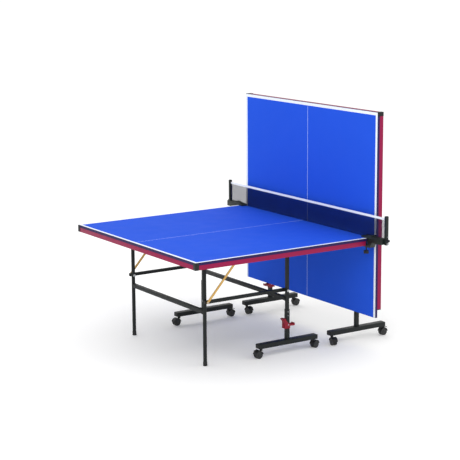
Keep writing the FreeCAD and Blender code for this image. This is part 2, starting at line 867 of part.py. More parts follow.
def latch_lever():
    """A rocker round the post: a handle on the outer side and a hook on the net side."""
    outline = [
        ("-handle_x - handle_wall", "-handle_fall"),
        ("-handle_x", "-handle_fall"),
        ("0", "-lever_half"),
        ("hook_reach", "-hook_depth"),
        ("hook_reach", "hook_rise"),
        ("hook_reach - hook_nose", "0"),
        ("0", "lever_half"),
        ("-handle_x", "handle_rise - lever_half"),
        ("-handle_x", "handle_rise"),
        ("-handle_x - handle_reach", "handle_rise"),
        ("-handle_x - handle_wall", "handle_rise - handle_taper"),
    ]
    whole = pad("XZ_Plane", outline, "2 * (latch_plate + latch_wall)", "latch_lever")
    gap = box(
        ("-handle_x", "hook_reach - hook_nose"),
        ("-latch_plate", "latch_plate"),
        ("-handle_rise", "2 * handle_rise"),
    )
    outside = "(latch_plate + latch_wall + past)"
    hole = rod("latch_pin + pivot_gap", (0, f"-{outside}", 0), f"2 * {outside}", "y")
    return place(cut(whole, gap, hole), moved(y="-track", z="latch_height"))


# ---- casters, each drawn with its stem on the Z axis and its wheels trailing to +X ----

def caster_fork(has_brake):
    """Stem, boss, hood, web and brake lugs in one moulding, and a steel axle."""
    centre = ("trail", "wheel_radius")
    half_hood = "hood_width / 2"
    outside = f"({half_hood} + past)"
    arch = cut(
        rod("hood_radius", (centre[0], f"-{half_hood}", centre[1]), "hood_width", "y"),
        rod("hood_radius - hood_wall", (centre[0], f"-{outside}", centre[1]), f"2 * {outside}", "y"),
        box(
            ("trail - 2 * hood_radius", "trail + 2 * hood_radius"),
            (f"-{outside}", outside),
            ("wheel_radius - 2 * hood_radius", "wheel_radius + arch_lift"),
        ),
    )
    web = cut(
        rod("hood_radius - hood_wall / 2", (centre[0], "-web_width / 2", centre[1]), "web_width", "y"),
        box(
            ("trail - 2 * hood_radius", "trail + 2 * hood_radius"),
            ("-web_width", "web_width"),
            ("wheel_radius - 2 * hood_radius", "wheel_radius - web_fall"),
        ),
    )
    moulding = [
        arch,
        web,
        rod("stem_boss", (0, 0, "boss_foot - boss_root"), "boss_top - boss_foot + boss_root", "z"),
        rod("stem_radius", (0, 0, "boss_top"), "stem_top - boss_top", "z"),
    ]
    wheel_room = [
        cross_rod("wheel_radius + hood_gap", *centre, side, "wheel_inner - side_gap", "hood_width")
        for side in SIDES
    ]
    cuts = wheel_room + [rod("axle_radius", (centre[0], "-hood_width", centre[1]), "2 * hood_width", "y")]
    if has_brake:
        for side in SIDES:
            lug = box(
                ("brake_x - lug_width / 2", "brake_x + lug_width / 2"),
                side_span(side, "lug_y - lug_wall / 2", "lug_y + lug_wall / 2"),
                ("brake_height - lug_fall", "brake_height + brake_radius"),
            )
            moulding.append(lug)
        reach = "(lug_y + lug_wall)"
        cuts.append(rod("brake_pin", ("brake_x", f"-{reach}", "brake_height"), f"2 * {reach}", "y"))
    half_axle = "(wheel_outer - hub_wall)"
    axle = rod("axle_radius", (centre[0], f"-{half_axle}", centre[1]), f"2 * {half_axle}", "y")
    pieces = [cut(fuse(*moulding), *cuts), axle]
    if has_brake:
        reach = "(lug_y + lug_wall / 2)"
        pieces.append(rod("brake_pin", ("brake_x", f"-{reach}", "brake_height"), f"2 * {reach}", "y"))
    return pieces


def caster_wheels():
    """Twin wheels with a raised hub cover over the end of the axle."""
    bore = "axle_radius + pivot_gap"
    hub_roof = "wheel_outer - hub_wall + hub_gap"
    outline = [
        (bore, "wheel_inner"),
        ("wheel_radius - wheel_bevel", "wheel_inner"),
        ("wheel_radius", "wheel_inner + wheel_bevel"),
        ("wheel_radius", "wheel_outer - wheel_dish - wheel_shoulder"),
        ("wheel_radius - wheel_shoulder", "wheel_outer - wheel_dish"),
        ("wheel_radius / 2", "wheel_outer - wheel_dish"),
        ("wheel_radius / 3", "wheel_outer + hub_over"),
        ("0", "wheel_outer + hub_over"),
        ("0", hub_roof),
        (bore, hub_roof),
    ]
    return [
        place(turning(outline, "wheel"), moved("trail", 0, "wheel_radius", angle=0 if side > 0 else 180))
        for side in SIDES
    ]


def brake_lever():
    outline = [
        ("0", "0"),
        ("pedal_reach", "-pedal_fall"),
        ("pedal_reach + pedal_lean", "pedal_wall - pedal_fall"),
        ("pedal_lean", "pedal_wall"),
    ]
    width = "2 * (lug_y - lug_wall / 2 - pedal_gap)"
    pedal = place(pad("XZ_Plane", outline, width, "pedal"), moved("brake_x", 0, "brake_height"))
    start = ("brake_x", f"-({width}) / 2", "brake_height")
    eye = rod("brake_radius", start, width, "y")
    hole = rod("brake_pin + pivot_gap", start, width, "y")
    return cut(fuse(pedal, eye), hole)


# ---- the net set, drawn on the flat near half ----

def net_mesh():
    """The netting as one sheet whose lower corners are cut round the clamps."""
    clear = "+ net_clear"
    foot = "top_height + net_lift"
    jaw = "clamp_inner - net_clear"
    outline = [
        (jaw, foot),
        (jaw, f"top_height + jaw_wall {clear}"),
        ("clamp_out", f"top_height + jaw_root {clear}"),
        ("crown_y", f"arm_top + arm_crown {clear}"),
        ("side_edge + arm_start", f"arm_top {clear}"),
        ("net_end - net_gap", f"arm_top {clear}"),
        ("net_end - net_gap", "net_top - tape_wall - tape_room"),
    ]
    mirrored = [(f"-({y})", z) for y, z in reversed(outline)]
    return place(pad("YZ_Plane", outline + mirrored, "net_wall", "netting"), moved("net_x"))


def net_tape():
    """A folded tape over the top of the netting."""
    y = ("net_gap - net_end", "net_end - net_gap")
    cover = box(("net_x - tape_width / 2", "net_x + tape_width / 2"), y, ("tape_foot", "net_top"))
    inside = ("net_x - tape_width / 2 + tape_wall", "net_x + tape_width / 2 - tape_wall")
    return cut(cover, box(inside, y, ("tape_foot", "net_top - tape_wall")))


def net_cord():
    """The cord that runs straight through the tape from post to post."""
    height = "net_top - tape_wall - tape_room / 2"
    return rod("cord_radius", ("net_x", "-net_end", height), "2 * net_end", "y")


def net_posts():
    """Posts with rounded tops, a hook for the cord, and buttons for the bottom of the net."""
    pieces = []
    half = "net_post_width / 2"
    for side in SIDES:
        foot = "top_height - net_post_under"
        outline = [(f"-{half}", f"-{half}"), (half, f"-{half}"), (half, half), (f"-{half}", half)]
        length = "net_rise + net_post_over + net_post_under"
        post = pad("XY_Plane", outline, length, "net_post")
        round_edges(post, "net_post_width / 5", is_along("z"))
        top = number(length) / 2
        round_edges(post, "net_post_width / 6", lambda edge: all(v.Z > top - 1 for v in edge.Vertexes))
        place(post, moved("net_x", f"{side} * net_post_y", f"{foot} + ({length}) / 2"))
        if side < 0:
            hole = cross_rod(
                "cord_knob_pin + pivot_gap",
                "net_x",
                "knob_z",
                side,
                "net_post_out - cord_knob_root - past",
                "net_post_out + past",
            )
            post = cut(post, hole)
        else:
            pieces.append(
                cross_rod(
                    "cord_knob_radius",
                    "net_x",
                    "knob_z",
                    side,
                    "net_post_out",
                    "net_post_out + cord_knob_depth",
                )
            )
        pieces.append(post)
        hook_z = "knob_z + cord_hook_lift"
        hook_y = "net_post_out + cord_hook_reach"
        upright = ("net_x", f"{side} * ({hook_y})", f"{hook_z} - cord_hook_radius")
        pieces.append(
            fuse(
                cross_rod("cord_hook_radius", "net_x", hook_z, side, "net_post_out", hook_y),
                rod("cord_hook_radius", upright, "cord_hook_rise", "z"),
            )
        )
        pieces.append(
            cross_rod(
                "anchor_radius",
                "net_x",
                "knob_z - anchor_drop",
                side,
                "net_post_out",
                "net_post_out + cord_knob_depth / 2",
            )
        )
    return pieces


def net_clamps():
    """C-shaped clamps: jaws over and under the board, and an arm out to the net post."""
    outline = [
        ("clamp_inner", "top_height"),
        ("clamp_out", "top_height"),
        ("clamp_out", "jaw_top"),
        ("clamp_inner", "jaw_top"),
        ("clamp_inner", "jaw_under"),
        ("clamp_out + jaw_toe", "jaw_under"),
        ("side_edge + arm_start", "top_height - arm_drop"),
        ("net_end", "top_height - arm_drop"),
        ("net_end", "arm_top"),
        ("side_edge + arm_start", "arm_top"),
        ("crown_y", "arm_top + arm_crown"),
        ("clamp_out", "top_height + jaw_root"),
        ("clamp_inner", "top_height + jaw_wall"),
    ]
    clamps = []
    for side in SIDES:
        ring = outline if side > 0 else [(f"-({y})", z) for y, z in outline]
        clamp = place(pad("YZ_Plane", ring, "clamp_width", "clamp"), moved("clamp_x"))
        hole = rod(
            "screw_radius + pivot_gap",
            ("clamp_x", f"{side} * screw_y", "jaw_under - past"),
            "lower_jaw_wall + 2 * past",
            "z",
        )
        clamps.append(cut(clamp, hole))
    return clamps


def clamp_screw(side):
    """Knob, screw and swivel pad on one vertical axis."""
    centre = ("clamp_x", f"{side} * screw_y")
    pad_top = "panel_under - pad_gap"
    knob_foot = "knob_top - knob_height"
    lobes = []
    for turn in range(0, 360, 60):
        x = f"{centre[0]} + lobe_out * cos({turn})"
        y = f"{centre[1]} + lobe_out * sin({turn})"
        lobes.append(rod("lobe_radius", (x, y, knob_foot), "knob_height", "z"))
    return fuse(
        rod("knob_radius", (*centre, knob_foot), "knob_height", "z"),
        *lobes,
        rod("screw_radius", (*centre, "knob_top"), f"{pad_top} - pad_depth - knob_top", "z"),
        rod("pad_radius", (*centre, f"{pad_top} - pad_depth"), "pad_depth", "z"),
    )


def cord_knob():
    """The tension knob outside the post at -Y."""
    face = "net_post_out + cord_knob_gap"
    return fuse(
        cross_rod("cord_knob_radius", "net_x", "knob_z", -1, face, "net_post_out + cord_knob_depth"),
        cross_rod("cord_knob_pin", "net_x", "knob_z", -1, "net_post_out - cord_knob_root", face),
    )


# ---- the two halves ----

STANDS = {
    "near": moved("near_x"),
    "far": moved("far_x", angle=180),
}
LEG_LIFT = moved("leg_reach", 0, "leg_reach")
BRACE_FOOT = ("-leg_reach", 0, "link_height")
# For each half: where its top, legs, link bars and braces are in the half's own frame.
POSES = {
    "near": {
        "top": moved(),
        "legs": moved(),
        "links": moved(),
        "braces": moved(*BRACE_FOOT, (0, 1, 0), "brace_angle"),
    },
    "far": {
        "top": turned_at(0, "fold_height", 90),
        "legs": LEG_LIFT,
        "links": turned_at(0, "link_height", 90),
        "braces": LEG_LIFT + " * " + moved(*BRACE_FOOT, (0, 1, 0), 180),
    },
}
# Each caster: end of the beam, side, yaw of its trail in its half's frame, and brake.
CASTERS = {
    "near": {
        "left_outer": (-1, -1, 180, True),
        "left_inner": (1, -1, 15, False),
        "right_outer": (-1, 1, 180, False),
        "right_inner": (1, 1, 0, True),
    },
    "far": {
        "left_outer": (-1, 1, 180, True),
        "left_inner": (1, 1, 80, False),
        "right_outer": (-1, -1, 180, False),
        "right_inner": (1, -1, 100, True),
    },
}


def build_half(half):
    stand = STANDS[half]
    pose = {part: f"{stand} * {text}" for part, text in POSES[half].items()}
    node(f"{half}_top_panel", pose["top"], top_panel())
    node(f"{half}_apron_rails", pose["top"], *apron_rails())
    node(f"{half}_corner_caps", pose["top"], *corner_caps())
    node(f"{half}_subframe", pose["top"], *subframe())
    node(f"{half}_brackets", pose["top"], *brackets())
    node(f"{half}_leg_frame", pose["legs"], *leg_frame())
    node(f"{half}_leg_feet", pose["legs"], *leg_feet())
    node(f"{half}_link_bars", pose["links"], *link_bars())
    node(f"{half}_braces", pose["braces"], *braces())
    node(f"{half}_foot_beams", stand, *foot_beams())
    node(f"{half}_beam_caps", stand, *beam_caps())
    node(f"{half}_posts", stand, *posts())
    node(f"{half}_base_crossbar", stand, base_crossbar())
    node(f"{half}_link_bolts", stand, *link_bolts())
    node(f"{half}_latch_housing", stand, latch_housing())
    node(f"{half}_latch_lever", stand, latch_lever())
    for name, (end, side, yaw, has_brake) in CASTERS[half].items():
        spot = f"{stand} * " + moved(f"{end} * stem_pitch / 2", f"{side} * track", 0, angle=yaw)
        node(f"{half}_{name}_caster_fork", spot, *caster_fork(has_brake))
        node(f"{half}_{name}_caster_wheels", spot, *caster_wheels())
        if has_brake:
            node(f"{half}_{name}_brake_lever", spot, brake_lever())


def build_net():
    stand = STANDS["near"]
    node("net_mesh", stand, net_mesh())
    node("net_tape", stand, net_tape())
    node("net_cord", stand, net_cord())
    node("net_posts", stand, *net_posts())
    node("net_clamps", stand, *net_clamps())
    node("clamp_screw_left", stand, clamp_screw(-1))
    node("clamp_screw_right", stand, clamp_screw(1))
    node("net_cord_knob", stand, cord_knob())


def export_nodes():
    doc.recompute()
    for thing in doc.Objects:
        if {"Invalid", "Error"} & set(thing.State):
            raise RuntimeError(f"{thing.Name} ({thing.Label}) failed to recompute")
    for part in nodes:
        if part.Shape.isNull() or not part.Shape.isValid():
            raise RuntimeError(f"{part.Label} has no valid shape")
    os.makedirs("parts", exist_ok=True)
    for part in nodes:
        part.Shape.exportStep(f"parts/{part.Label}.step")
        print(f"{part.Label:34} {len(part.Shape.Solids):3} solids {part.Shape.Volume / 1000:10.1f} cm3")


build_half("near")
build_half("far")
build_net()
export_nodes()
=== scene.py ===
import json
import math
import random

import bmesh
import bpy
from mathutils import Matrix, Vector

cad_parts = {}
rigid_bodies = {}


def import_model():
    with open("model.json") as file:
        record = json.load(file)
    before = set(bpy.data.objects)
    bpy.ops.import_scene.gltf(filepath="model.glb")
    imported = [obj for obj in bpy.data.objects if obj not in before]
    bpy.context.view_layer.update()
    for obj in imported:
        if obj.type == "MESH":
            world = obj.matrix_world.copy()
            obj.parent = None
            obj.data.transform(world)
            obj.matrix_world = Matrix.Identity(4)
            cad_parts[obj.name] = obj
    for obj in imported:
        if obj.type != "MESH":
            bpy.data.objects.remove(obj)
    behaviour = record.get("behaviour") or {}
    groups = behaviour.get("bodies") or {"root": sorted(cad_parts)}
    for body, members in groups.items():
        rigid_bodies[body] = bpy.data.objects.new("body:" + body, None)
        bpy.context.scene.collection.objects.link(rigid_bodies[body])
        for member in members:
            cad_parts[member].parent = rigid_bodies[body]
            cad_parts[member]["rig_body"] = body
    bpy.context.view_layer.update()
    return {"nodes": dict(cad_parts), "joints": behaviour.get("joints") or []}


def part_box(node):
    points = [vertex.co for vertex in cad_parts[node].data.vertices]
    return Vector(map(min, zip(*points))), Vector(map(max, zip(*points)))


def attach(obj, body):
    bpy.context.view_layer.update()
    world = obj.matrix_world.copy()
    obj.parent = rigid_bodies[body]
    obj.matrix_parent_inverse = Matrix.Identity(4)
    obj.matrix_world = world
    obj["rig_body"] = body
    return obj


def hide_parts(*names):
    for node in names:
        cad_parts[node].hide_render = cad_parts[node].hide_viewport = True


# A roll-away ping pong table in the playback position: the near half flat, the far half upright.
# The pieces take their places from the CAD frame. Lengths are in metres unless they are times MM.

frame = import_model()
MM = 0.001
HALVES = ("near", "far")
SIDES = (-1, 1)
JOINTS = {joint["name"]: joint for joint in frame["joints"]}
random.seed(7)

# Each half is built flat in its own frame, as the CAD is: +X to the net, the fold pivots at X = 0.
NEAR_X = JOINTS["near_top_fold"]["pos_m"][0]
FAR_X = JOINTS["far_top_fold"]["pos_m"][0]
FOLD_Z = JOINTS["near_top_fold"]["pos_m"][2]
LINK_Z = JOINTS["near_link_swing"]["pos_m"][2]
LEG_REACH = NEAR_X - JOINTS["near_leg_swing"]["pos_m"][0]
STAND = {
    "near": Matrix.Translation((NEAR_X, 0, 0)),
    "far": Matrix.Translation((FAR_X, 0, 0)) @ Matrix.Rotation(math.pi, 4, "Z"),
}


def turned_at(z):
    """A quarter turn about the cross axis at height z, from flat to folded."""
    turn = Matrix.Rotation(math.pi / 2, 4, "Y")
    return Matrix.Translation((0, 0, z)) @ turn @ Matrix.Translation((0, 0, -z))


FOLDED = {
    "top": turned_at(FOLD_Z),
    "legs": Matrix.Translation((LEG_REACH, 0, LEG_REACH)),
    "links": turned_at(LINK_Z),
    "base": Matrix.Identity(4),
}


def pose(half, part):
    """The matrix from a half's own frame to the row frame at rest."""
    return STAND[half] @ FOLDED[part] if half == "far" else STAND[half]


def local_box(node):
    """A near node's box in the frame of its half."""
    low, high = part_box(node)
    shift = Vector((NEAR_X, 0, 0))
    return low - shift, high - shift


# Sizes of the CAD that its boxes don't give.
LEG_Y = 0.457
LEG_RADIUS = 0.0125
LEG_BAR_Z = 0.3545
SLEEVE = 0.025
SLEEVE_TOP = 0.3
POST = 0.020
BEAM_RAIL_Y = 0.560
STRAPS_X = (0.440, 0.200, -0.430, -0.760)
RAIL_SHEET = 2 * MM
CHANNEL_SHEET = 1.5 * MM
PLATE = 3 * MM
CLEVIS_PLATE = 2.5 * MM
LATCH_Z = 0.196
HANDLE_FACE = -0.028
JAW_INNER = 0.699
CLAMP_TOP = ((0.699, 0.770), (0.7633, 0.778), (0.8025, 0.785), (0.8125, 0.777), (0.904, 0.777))


# ---- materials ----

def linear(red, green, blue):
    """An sRGB colour from 0 to 255 as linear values."""
    channels = [c / 255 for c in (red, green, blue)]
    return [c / 12.92 if c <= 0.04045 else ((c + 0.055) / 1.055) ** 2.4 for c in channels] + [1.0]


class Shader:
    """A material with one principled shader and the few node helpers used here."""

    def __init__(self, name, colour, roughness, metallic=0.0, **sockets):
        self.material = bpy.data.materials.new(name)
        self.material.use_nodes = True
        self.tree = self.material.node_tree
        self.shader = self.tree.nodes["Principled BSDF"]
        self.colour = colour
        self.set(self.shader, "Base Color", colour)
        self.set(self.shader, "Roughness", roughness)
        self.set(self.shader, "Metallic", metallic)
        for socket, value in sockets.items():
            self.set(self.shader, socket.replace("_", " "), value)
        self.place = self.add("ShaderNodeTexCoord").outputs["Object"]
        self.height = None
        self.material.diffuse_color = colour

    def set(self, node, socket, value):
        node.inputs[socket].default_value = value

    def add(self, kind, **fields):
        node = self.tree.nodes.new(kind)
        for field, value in fields.items():
            setattr(node, field, value)
        return node

    def link(self, source, target):
        self.tree.links.new(source, target)

    def stretched(self, scale):
        """Object coordinates scaled on each axis, for grain that runs one way."""
        mapping = self.add("ShaderNodeMapping")
        self.set(mapping, "Scale", scale)
        self.link(self.place, mapping.inputs["Vector"])
        return mapping.outputs["Vector"]

    def noise(self, scale, detail=3.0, roughness=0.5, place=None):
        node = self.add("ShaderNodeTexNoise")
        self.set(node, "Scale", scale)
        self.set(node, "Detail", detail)
        self.set(node, "Roughness", roughness)
        self.link(place or self.place, node.inputs["Vector"])
        return node.outputs["Fac"]

    def ramp(self, factor, low, high, start=0.0, end=1.0):
        """A factor mapped from one range to another."""
        node = self.add("ShaderNodeMapRange")
        for socket, value in (("From Min", start), ("From Max", end), ("To Min", low), ("To Max", high)):
            self.set(node, socket, value)
        self.link(factor, node.inputs["Value"])
        return node.outputs["Result"]

    def mix(self, factor, first, second):
        """Two colours mixed by a factor; each is a colour or an output."""
        node = self.add("ShaderNodeMix", data_type="RGBA")
        self.link(factor, node.inputs["Factor"])
        for socket, value in ((node.inputs[6], first), (node.inputs[7], second)):
            if isinstance(value, list):
                socket.default_value = value
            else:
                self.link(value, socket)
        return node.outputs[2]

    def tint(self, scale, spread, **noise):
        """Uneven colour: the base darkened and lightened by a share."""
        dark = [c * (1 - spread) for c in self.colour[:3]] + [1.0]
        light = [min(1.0, c * (1 + spread)) for c in self.colour[:3]] + [1.0]
        self.link(self.mix(self.noise(scale, **noise), dark, light), self.shader.inputs["Base Color"])

    def uneven_gloss(self, scale, low, high, **noise):
        factor = self.ramp(self.noise(scale, **noise), low, high, 0.3, 0.7)
        self.link(factor, self.shader.inputs["Roughness"])

    def bump(self, height, strength, distance):
        """Adds a bump on top of the bumps before it."""
        node = self.add("ShaderNodeBump")
        self.set(node, "Strength", strength)
        self.set(node, "Distance", distance)
        self.link(height, node.inputs["Height"])
        if self.height is not None:
            self.link(self.height, node.inputs["Normal"])
        self.height = node.outputs["Normal"]
        self.link(self.height, self.shader.inputs["Normal"])

    def wave(self, scale, direction, distortion=0.0):
        node = self.add("ShaderNodeTexWave", bands_direction=direction)
        self.set(node, "Scale", scale)
        self.set(node, "Distortion", distortion)
        self.link(self.place, node.inputs["Vector"])
        return node.outputs["Fac"]


def board_paint():
    paint = Shader("board_paint", linear(37, 88, 219), 0.72, Specular_IOR_Level=0.06)
    paint.tint(3.0, 0.035, detail=4.0)
    paint.uneven_gloss(9.0, 0.68, 0.78, detail=5.0)
    paint.bump(paint.noise(1400.0, detail=2.0), 0.12, 0.0002)
    paint.bump(paint.noise(160.0, detail=3.0), 0.05, 0.0004)
    return paint.material


def line_paint(name, colour):
    paint = Shader(name, colour, 0.6, Specular_IOR_Level=0.2)
    paint.tint(14.0, 0.03)
    paint.uneven_gloss(30.0, 0.55, 0.65)
    paint.bump(paint.noise(1200.0), 0.12, 0.0002)
    return paint.material


def board_edge():
    paint = Shader("board_edge", linear(34, 18, 76), 0.5, Specular_IOR_Level=0.2)
    paint.tint(25.0, 0.15, detail=5.0)
    paint.bump(paint.noise(500.0, detail=4.0), 0.15, 0.0003)
    return paint.material


def board_back():
    """Rolled primer on the underside, with a faint wood fibre under it."""
    paint = Shader("board_back", linear(30, 38, 50), 0.66, Specular_IOR_Level=0.25)
    paint.tint(6.0, 0.12, detail=6.0)
    paint.bump(paint.noise(420.0, detail=6.0), 0.25, 0.0004)
    paint.bump(paint.noise(18.0, place=paint.stretched((1.0, 14.0, 1.0))), 0.15, 0.0006)
    return paint.material


def apron_paint():
    paint = Shader("apron_paint", linear(142, 14, 66), 0.42, Specular_IOR_Level=0.2)
    paint.tint(10.0, 0.06, detail=3.0)
    paint.uneven_gloss(24.0, 0.38, 0.48)
    paint.bump(paint.noise(900.0, detail=2.0), 0.1, 0.0002)
    return paint.material


def powder_coat():
    coat = Shader("powder_coat", linear(20, 25, 25), 0.48, Specular_IOR_Level=0.26)
    coat.tint(40.0, 0.25, detail=4.0)
    coat.uneven_gloss(60.0, 0.42, 0.56, detail=4.0)
    coat.bump(coat.noise(750.0, detail=2.0), 0.22, 0.0003)
    return coat.material


def yellow_zinc():
    """Passivated zinc: gold with pink and green clouds, and fine drawing marks."""
    zinc = Shader("yellow_zinc", linear(206, 168, 96), 0.38, metallic=0.75)
    clouds = zinc.noise(38.0, detail=4.0, roughness=0.6)
    gold = zinc.mix(clouds, linear(222, 186, 108), linear(188, 142, 72))
    tinge = zinc.ramp(zinc.noise(90.0, detail=2.0), 0.0, 0.35, 0.5, 0.75)
    zinc.link(zinc.mix(tinge, gold, linear(206, 150, 128)), zinc.shader.inputs["Base Color"])
    zinc.uneven_gloss(70.0, 0.3, 0.46)
    zinc.bump(zinc.noise(260.0, place=zinc.stretched((9.0, 9.0, 0.6))), 0.12, 0.0002)
    return zinc.material


def bright_steel():
    steel = Shader("bright_steel", linear(176, 178, 180), 0.28, metallic=1.0)
    steel.tint(80.0, 0.1)
    steel.uneven_gloss(120.0, 0.22, 0.36)
    steel.bump(steel.noise(900.0, place=steel.stretched((1.0, 0.2, 1.0))), 0.08, 0.0001)
    return steel.material


def moulded(name, colour, roughness=0.46, grain=620.0):
    """Moulded plastic with a spark-eroded grain and slight sink marks."""
    plastic = Shader(name, colour, roughness, Specular_IOR_Level=0.3)
    plastic.tint(45.0, 0.12)
    plastic.uneven_gloss(35.0, roughness - 0.05, roughness + 0.07)
    plastic.bump(plastic.noise(grain, detail=3.0), 0.2, 0.0002)
    plastic.bump(plastic.noise(50.0, detail=1.0), 0.06, 0.0006)
    return plastic.material


def foot_rubber():
    rubber = Shader("foot_rubber", linear(24, 25, 26), 0.72)
    rubber.tint(60.0, 0.3, detail=5.0)
    rubber.bump(rubber.noise(520.0, detail=5.0), 0.35, 0.0003)
    return rubber.material


def tread_rubber():
    """Nylon wheels, dulled and a little dusty where they roll."""
    tread = Shader("tread_rubber", linear(26, 28, 29), 0.5)
    dust = tread.ramp(tread.noise(110.0, detail=6.0), 0.0, 0.3, 0.5, 0.8)
    tread.link(tread.mix(dust, linear(24, 26, 27), linear(82, 82, 80)), tread.shader.inputs["Base Color"])
    tread.uneven_gloss(80.0, 0.42, 0.62)
    tread.bump(tread.noise(420.0, detail=4.0), 0.2, 0.0002)
    return tread.material


def twine(name, colour, pitch):
    """Twisted yarn: fine ridges across the strand."""
    yarn = Shader(name, colour, 0.85, Specular_IOR_Level=0.15)
    yarn.tint(220.0, 0.25, detail=3.0)
    yarn.bump(yarn.wave(pitch, "DIAGONAL", 1.5), 0.5, 0.0002)
    return yarn.material


def tape_cloth():
    """White cotton tape: a plain weave, a little uneven in tone."""
    cloth = Shader("tape_cloth", linear(236, 241, 248), 0.85, Sheen_Weight=0.2, Sheen_Roughness=0.5)
    cloth.tint(70.0, 0.05, detail=5.0)
    cloth.bump(cloth.wave(420.0, "Y", 0.6), 0.5, 0.0003)
    cloth.bump(cloth.wave(420.0, "Z", 0.6), 0.4, 0.0003)
    return cloth.material


M = {
    "board": board_paint(),
    "white_line": line_paint("white_line", linear(240, 246, 255)),
    "centre_line": line_paint("centre_line", linear(196, 216, 255)),
    "edge": board_edge(),
    "back": board_back(),
    "apron": apron_paint(),
    "frame": powder_coat(),
    "zinc": yellow_zinc(),
    "steel": bright_steel(),
    "black": moulded("black_plastic", linear(20, 21, 23)),
    "clamp": moulded("clamp_plastic", linear(22, 30, 28), 0.4, 480.0),
    "knob": moulded("knob_plastic", linear(16, 18, 26), 0.34, 700.0),
    "red": moulded("latch_plastic", linear(132, 6, 34), 0.4, 560.0),
    "grey": moulded("hook_plastic", linear(150, 152, 156), 0.45),
    "rubber": foot_rubber(),
    "tread": tread_rubber(),
    "net": twine("net_twine", linear(6, 13, 56), 900.0),
    "cord": twine("white_cord", linear(220, 222, 226), 900.0),
    "tape": tape_cloth(),
}


# ---- mesh building ----

def finish_piece(name, bm, materials, body, replaced=(), smooth=35, matrix=None):
    """Turns a bmesh into a piece that rides on a body."""
    if matrix is not None:
        bm.transform(matrix)
    bmesh.ops.recalc_face_normals(bm, faces=bm.faces)
    mesh = bpy.data.meshes.new(name)
    bm.to_mesh(mesh)
    bm.free()
    for material in materials:
        mesh.materials.append(material)
    mesh.polygons.foreach_set("use_smooth", [True] * len(mesh.polygons))
    mesh.set_sharp_from_angle(angle=math.radians(smooth))
    piece = bpy.data.objects.new(name, mesh)
    bpy.context.scene.collection.objects.link(piece)
    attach(piece, body)
    if replaced:
        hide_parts(*replaced)
    return piece


def bevel_sharp(bm, width, segments=2, angle=38):
    sharp = [e for e in bm.edges if e.is_manifold and e.calc_face_angle(0) > math.radians(angle)]
    bmesh.ops.bevel(
        bm, geom=sharp, offset=width, segments=segments, profile=0.6, affect="EDGES", clamp_overlap=True
    )


PIN_WIDTH = 17.5 * MM


def mark_pins(bm):
    """Gives the second material to every separate solid that is slimmer than PIN_WIDTH."""
    unseen = set(bm.faces)
    while unseen:
        island, to_visit = set(), [unseen.pop()]
        while to_visit:
            face = to_visit.pop()
            island.add(face)
            for edge in face.edges:
                for other in edge.link_faces:
                    if other in unseen:
                        unseen.discard(other)
                        to_visit.append(other)
        points = [v.co for face in island for v in face.verts]
        spans = sorted(max(p[i] for p in points) - min(p[i] for p in points) for i in range(3))
        if spans[1] < PIN_WIDTH:
            for face in island:
                face.material_index = 1


def softened(node, width, material, segments=2, angle=38, pins=None):
    """A CAD node's own shape with its sharp edges rounded, in place of the node.

    Where pins names a material, the node's slim separate solids take it."""
    bm = bmesh.new()
    bm.from_mesh(frame["nodes"][node].data)
    bmesh.ops.remove_doubles(bm, verts=bm.verts, dist=2e-6)
    bmesh.ops.dissolve_limit(bm, angle_limit=math.radians(0.6), verts=bm.verts, edges=bm.edges)
    if pins:
        mark_pins(bm)
    bevel_sharp(bm, width, segments, angle)
    body = frame["nodes"][node]["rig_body"]
    materials = [material, pins] if pins else [material]
    return finish_piece(node + "_shell", bm, materials, body, (node,))


def circle(segments):
    """The cosine and sine of each step round a circle."""
    for i in range(segments):
        angle = 2 * math.pi * i / segments
        yield math.cos(angle), math.sin(angle)


def bridge(bm, rings):
    """Faces between each ring of points and the next, where both have as many points."""
    for low, high in zip(rings, rings[1:]):
        count = len(low)
        for k in range(count):
            j = (k + 1) % count
            bm.faces.new((low[k], low[j], high[j], high[k]))


# What turns the Z axis to another one.
UPRIGHT = Matrix.Identity(4)
ALONG_Y = Matrix.Rotation(-math.pi / 2, 4, "X")


def lathe(bm, profile, start, turn=UPRIGHT, segments=48):
    """Revolves (radius, distance) points about the Z axis, then turns them and moves them to start."""
    matrix = Matrix.Translation(start) @ turn
    rings = []
    for radius, distance in profile:
        if radius < 1e-7:
            rings.append([bm.verts.new(matrix @ Vector((0, 0, distance)))])
            continue
        points = [Vector((radius * cosine, radius * sine, distance)) for cosine, sine in circle(segments)]
        rings.append([bm.verts.new(matrix @ point) for point in points])
    for low, high in zip(rings, rings[1:]):
        if len(low) == len(high):
            bridge(bm, (low, high))
            continue
        for i in range(segments):
            j = (i + 1) % segments
            corners = (low[0], high[i], high[j]) if len(low) == 1 else (low[j], low[i], high[0])
            bm.faces.new(corners)


def in_mm(profile):
    """A profile's (radius, distance) points, from millimetres to metres."""
    return [(radius * MM, distance * MM) for radius, distance in profile]


def block(bm, low, high):
    """A box between two corners."""
    size = [b - a for a, b in zip(low, high)]
    centre = [(a + b) / 2 for a, b in zip(low, high)]
    matrix = Matrix.Translation(centre) @ Matrix.Diagonal((*size, 1.0))
    bmesh.ops.create_cube(bm, size=1.0, matrix=matrix)


